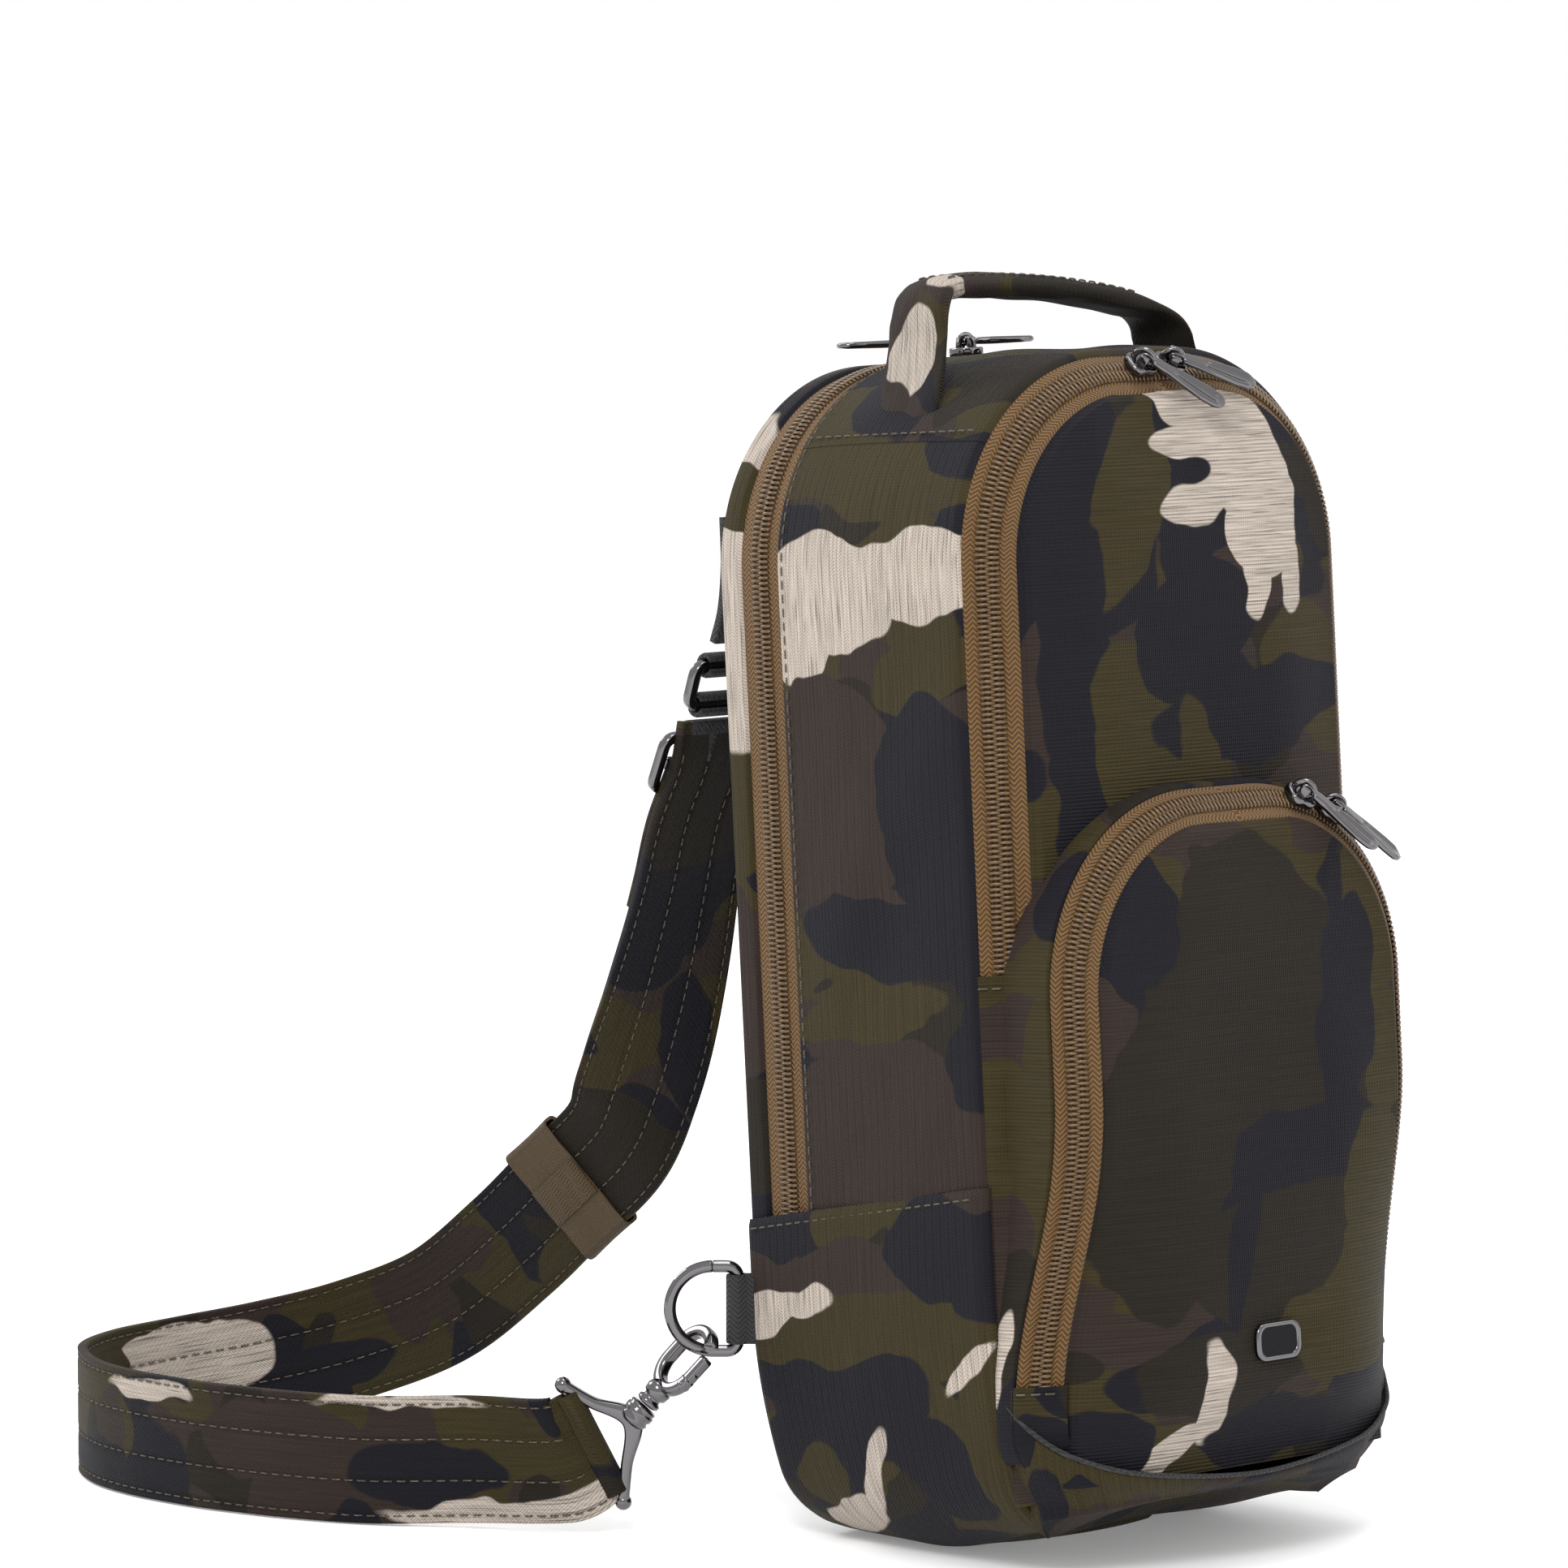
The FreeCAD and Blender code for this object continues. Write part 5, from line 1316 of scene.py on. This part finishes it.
def band(name, path, across, width, section, material, start=0.0):
    """Flat band: section is (across share, out) round its edge."""
    run = run_along(path) + start
    tangent = unit_rows(np.gradient(path, axis=0))
    side = unit_rows(across - tangent * np.sum(across * tangent, axis=1)[:, None])
    face = np.cross(tangent, side)
    section = np.asarray(section, float)
    width = np.broadcast_to(np.asarray(width, float), run.shape)
    p = (path[:, None] + side[:, None] * (section[None, :, :1] * width[:, None, None] / 2)
         + face[:, None] * section[None, :, 1:])
    v, f = loft(p)
    uv = stack(section[None, :, 0] * 19, run[:, None])
    return add_mesh(name, floor_frame(v), f, material, uv.reshape(-1, 2)), side, face, run


def padded_section(half_thick, seams, puff):
    """Section of a padded strap: flat at the seams and rounder between them."""
    xs = np.linspace(-0.985, 0.985, 45)
    gap = np.min(np.abs(xs[:, None] * 19 - np.array(seams)[None]), axis=1)
    top = half_thick - puff * np.exp(-(gap / 0.9) ** 2)
    upper = [(x, t) for x, t in zip(xs, top)]
    lower = [(x, -t) for x, t in zip(xs[::-1], top[::-1])]
    return np.array(upper + [(1.0, 0.5 * half_thick), (1.0, -0.5 * half_thick)] + lower
                    + [(-1.0, -0.5 * half_thick), (-1.0, 0.5 * half_thick)])


def make_strap():
    upper, lower = strap_bar()
    bar = lower - upper
    bar /= np.linalg.norm(bar)
    middle = (upper + lower) / 2
    back = OUT - bar * np.dot(OUT, bar)
    back /= np.linalg.norm(back)
    spots = [p for p, _ in ROUTE] + [tuple(middle + back * 11), tuple(middle + back * 1.2)]
    sides = [d for _, d in ROUTE] + [tuple(bar), tuple(bar)]
    both = curve_through(np.concatenate([np.array(spots, float), np.array(sides, float)], 1), count(420))
    seams = [-16.6, -6.2, 6.2, 16.6]
    t = np.linspace(0, 1, len(both))
    width = np.interp(t, [0, 0.96, 1.0], [37.6, 38.0, 34.5])
    waves = 0.35 * ripple(both[:, :3], 34, 9) * smooth(t * 6) * smooth((1 - t) * 8)
    path = both[:, :3] + waves[:, None] * np.array([0.5, 0.5, 0.0])
    piece, side, face, run = band("strap_cloth", path, both[:, 3:], width, padded_section(1.5, seams, 0.55),
                                  M_STRAP)
    on_bag(piece, "strap")
    keep = (t > 0.03) & (t < 0.985)
    lines = []
    for w in seams:
        for sign in (-1, 1):
            seam = path + side * w * width[:, None] / 38 + face * sign * 1.02
            lines.append((seam[keep], (face * sign)[keep]))
    stitches("strap_stitches", lines, space=floor_frame, radius=0.24)
    # fold round the hook frame's bar
    fold = [middle + back * (0.2 - 3.1 * math.cos(k)) + np.cross(bar, back) * 2.7 * math.sin(k)
            for k in np.radians(np.linspace(150, -150, 30))]
    v, f = tube(fold, bar, rounded(1.5, 33.0, 0.6, 3))
    on_bag(add_mesh("strap_fold", floor_frame(v), f, M_STRAP))
    # second layer below the adjuster
    part = (run > 12) & (run < 62)
    layer = path[part] + face[part] * 2.6
    if layer[:, 1].mean() < path[part][:, 1].mean():
        layer = path[part] - face[part] * 2.6
    on_bag(band("strap_layer", layer, both[part, 3:], 36.5, padded_section(1.0, [-15, 15], 0.3),
                M_STRAP, 200)[0])
    make_keeper()


def make_keeper():
    """Elastic loop round the strap's straight stretch, with a lapped and sewn end."""
    start, end = np.array([-44.5, 141.0, 102.0]), np.array([-43.0, 191.0, 65.0])
    run = np.array([-1.5, 50.0, -37.0])
    run /= np.linalg.norm(run)
    side = np.array([0.37, -0.55, -0.75])
    side -= run * np.dot(run, side)
    side /= np.linalg.norm(side)
    face = np.cross(run, side)
    centre = start + (end - start) * 0.42
    ring = rounded(41.4, 6.4, 2.4, 8)
    inner = rounded(39.6, 4.6, 1.5, 8)
    rows = []
    for shape, spots in ((inner, (-10.6,)), (ring, (-11.0, -10.7, -5.5, 0, 5.5, 10.7, 11.0)),
                         (inner, (10.6,))):
        for k in spots:
            tight = 1 - 0.012 * math.cos(k / 11 * math.pi / 2)
            rows.append(centre + run * k + side * shape[:, :1] * tight + face * shape[:, 1:] * tight)
    p = np.array(rows)
    n = p.shape[1]
    verts, faces = p.reshape(-1, 3), [list(f) for f in grid_faces(len(rows), n, loop=True)]
    uv = stack(np.arange(n) * 3.0, np.array([0, 0, 0.3, 5.5, 11, 16.5, 22, 22.3, 22])[:, None])
    piece = add_mesh("keeper_cloth", floor_frame(verts), faces, M_ELASTIC, uv.reshape(-1, 2))
    on_body(piece, "keeper", "keeper")
    line = [centre + run * k + face * 3.45 for k in np.linspace(-10.8, 10.8, 8)]
    v, f = tube(line, face, rounded(13.0, 0.9, 0.3, 3))
    on_body(add_mesh("keeper_lap", floor_frame(v), f, M_ELASTIC), "keeper")


def tilt_x(v, degrees, spot):
    c, s = math.cos(math.radians(degrees)), math.sin(math.radians(degrees))
    return stack(v[:, 0], v[:, 1] * c - v[:, 2] * s, v[:, 1] * s + v[:, 2] * c) + spot


def frame_ring(length, height, bar, radius):
    loop = rounded(length - bar, height - bar, radius, 6)
    path = stack(loop[:, 0], 0.0, loop[:, 1])
    path = resample(np.concatenate([path, path[:1]]), 0.9)
    return tube(path, (0, 1, 0), rounded(bar, bar * 0.9, 0.8, 4))


def make_top_fittings():
    ring_spot, ring_tilt = np.array([-47.0, 78.0, 247.0]), 19.0
    v, f = frame_ring(46.0, 16.0, 3.4, 3.0)
    v = tilt_x(v, ring_tilt, ring_spot)
    on_bag(add_mesh("top_ring_metal", floor_frame(v), f, M_GUN), "top_ring")
    v, f = frame_ring(46.0, 20.0, 3.2, 3.0)
    line = np.array([(x, 0, 0) for x in np.linspace(-21, 21, 12)], float)
    v, f = combine([(v, f), tube(line, (0, 1, 0), rounded(3.4, 2.2, 0.7, 4))])
    v = tilt_x(v, 24.0, np.array([-50.0, 86.0 + 3.4, 223.5]))
    on_bag(add_mesh("adjuster_metal", floor_frame(v), f, M_GUN), "tri_glide")
    tilt = math.radians(ring_tilt)
    for name, sign, points, nodes in (
            ("ring_tab_cloth", 1, [(0, 68.2, 297), (0, 67.6, 283), (0, 69.0, 270), (0, 72.5, 260)],
             ["ring_tab"]),
            ("strap_eye", -1, [(0, 85.5, 224), (0, 83.6, 231), (0, 82.2, 236)], [])):
        eye = ring_spot + np.array([0, -math.sin(tilt) * 6.3 * sign, math.cos(tilt) * 6.3 * sign])
        first = np.array(points, float)
        first[:, 0] = ring_spot[0]
        turn = [eye + np.array([0, 3.0 * math.cos(k), 3.0 * math.sin(k) * sign])
                for k in np.radians(np.linspace(150, -150, 16))]
        flat = curve_through(first, 24)
        for part, line in (("", flat), ("_fold", turn)):
            section = rounded(1.6 if part else 2.8, 37.0, 0.6, 3)
            v, f = tube(line, (1, 0, 0), section)
            on_bag(add_mesh(name + part, floor_frame(v), f, M_BLACK),
                   *([] if part else nodes))


# ---- stage, light, camera -----------------------------------------------------------------------
def make_stage():
    n = Nodes("floor_white")
    grain = n.noise(n.add("ShaderNodeTexCoord").outputs["Object"], 3.0, 2.0).outputs["Fac"]
    n.finish(Base_Color=n.mix(grain, (0.88, 0.88, 0.88, 1), (0.9, 0.9, 0.9, 1)), Roughness=0.9,
             Emission_Color=(1, 1, 1, 1), Emission_Strength=0.2)
    mesh = bpy.data.meshes.new("floor")
    mesh.from_pydata([(-6, -6, 0), (6, -6, 0), (6, 6, 0), (-6, 6, 0)], [], [(0, 1, 2, 3)])
    mesh.materials.append(n.material)
    floor = bpy.data.objects.new("floor", mesh)
    bpy.context.scene.collection.objects.link(floor)
    scene = bpy.context.scene
    scene.world = bpy.data.worlds.new("studio")
    scene.world.use_nodes = True
    back = scene.world.node_tree.nodes["Background"]
    back.inputs[0].default_value = (1, 1, 1, 1)
    back.inputs[1].default_value = 1.0
    scene.view_settings.view_transform = "Standard"
    for name, spot, size, power in (
            ("key", (-1.5, -1.1, 1.7), 0.7, 24.0), ("fill", (1.6, -1.6, 1.1), 1.0, 5.0),
            ("rim", (-0.6, 1.8, 1.5), 0.8, 16.0), ("top", (0.2, -0.2, 2.2), 0.9, 14.0)):
        data = bpy.data.lights.new(name, "AREA")
        data.size = size
        data.energy = power
        lamp = bpy.data.objects.new(name, data)
        lamp.location = spot
        lamp.rotation_euler = (Vector((0, 0, 0.17)) - Vector(spot)).to_track_quat("-Z", "Y").to_euler()
        scene.collection.objects.link(lamp)


def make_camera():
    azimuth, elevation, distance = math.radians(-42.0), math.radians(5.5), 2.4
    target = Vector((-0.0539, 0.0537, 0.2188))
    back = Vector((math.sin(azimuth) * math.cos(elevation), -math.cos(azimuth) * math.cos(elevation),
                   math.sin(elevation)))
    data = bpy.data.cameras.new("camera")
    data.lens = 187.8
    data.sensor_width = 36.0
    data.clip_start = 0.1
    data.clip_end = 50.0
    camera = bpy.data.objects.new("camera", data)
    camera.location = target + back * distance
    camera.rotation_euler = (-back).to_track_quat("-Z", "Y").to_euler()
    bpy.context.scene.collection.objects.link(camera)
    bpy.context.scene.camera = camera


make_camera()
make_stage()
make_upper()
make_boot()
make_base()
make_divider()
make_back()
make_front()
make_pocket()
make_badge()
make_coils()
make_sliders()
make_handle()
make_rings()
make_hook()
make_strap()
make_top_fittings()
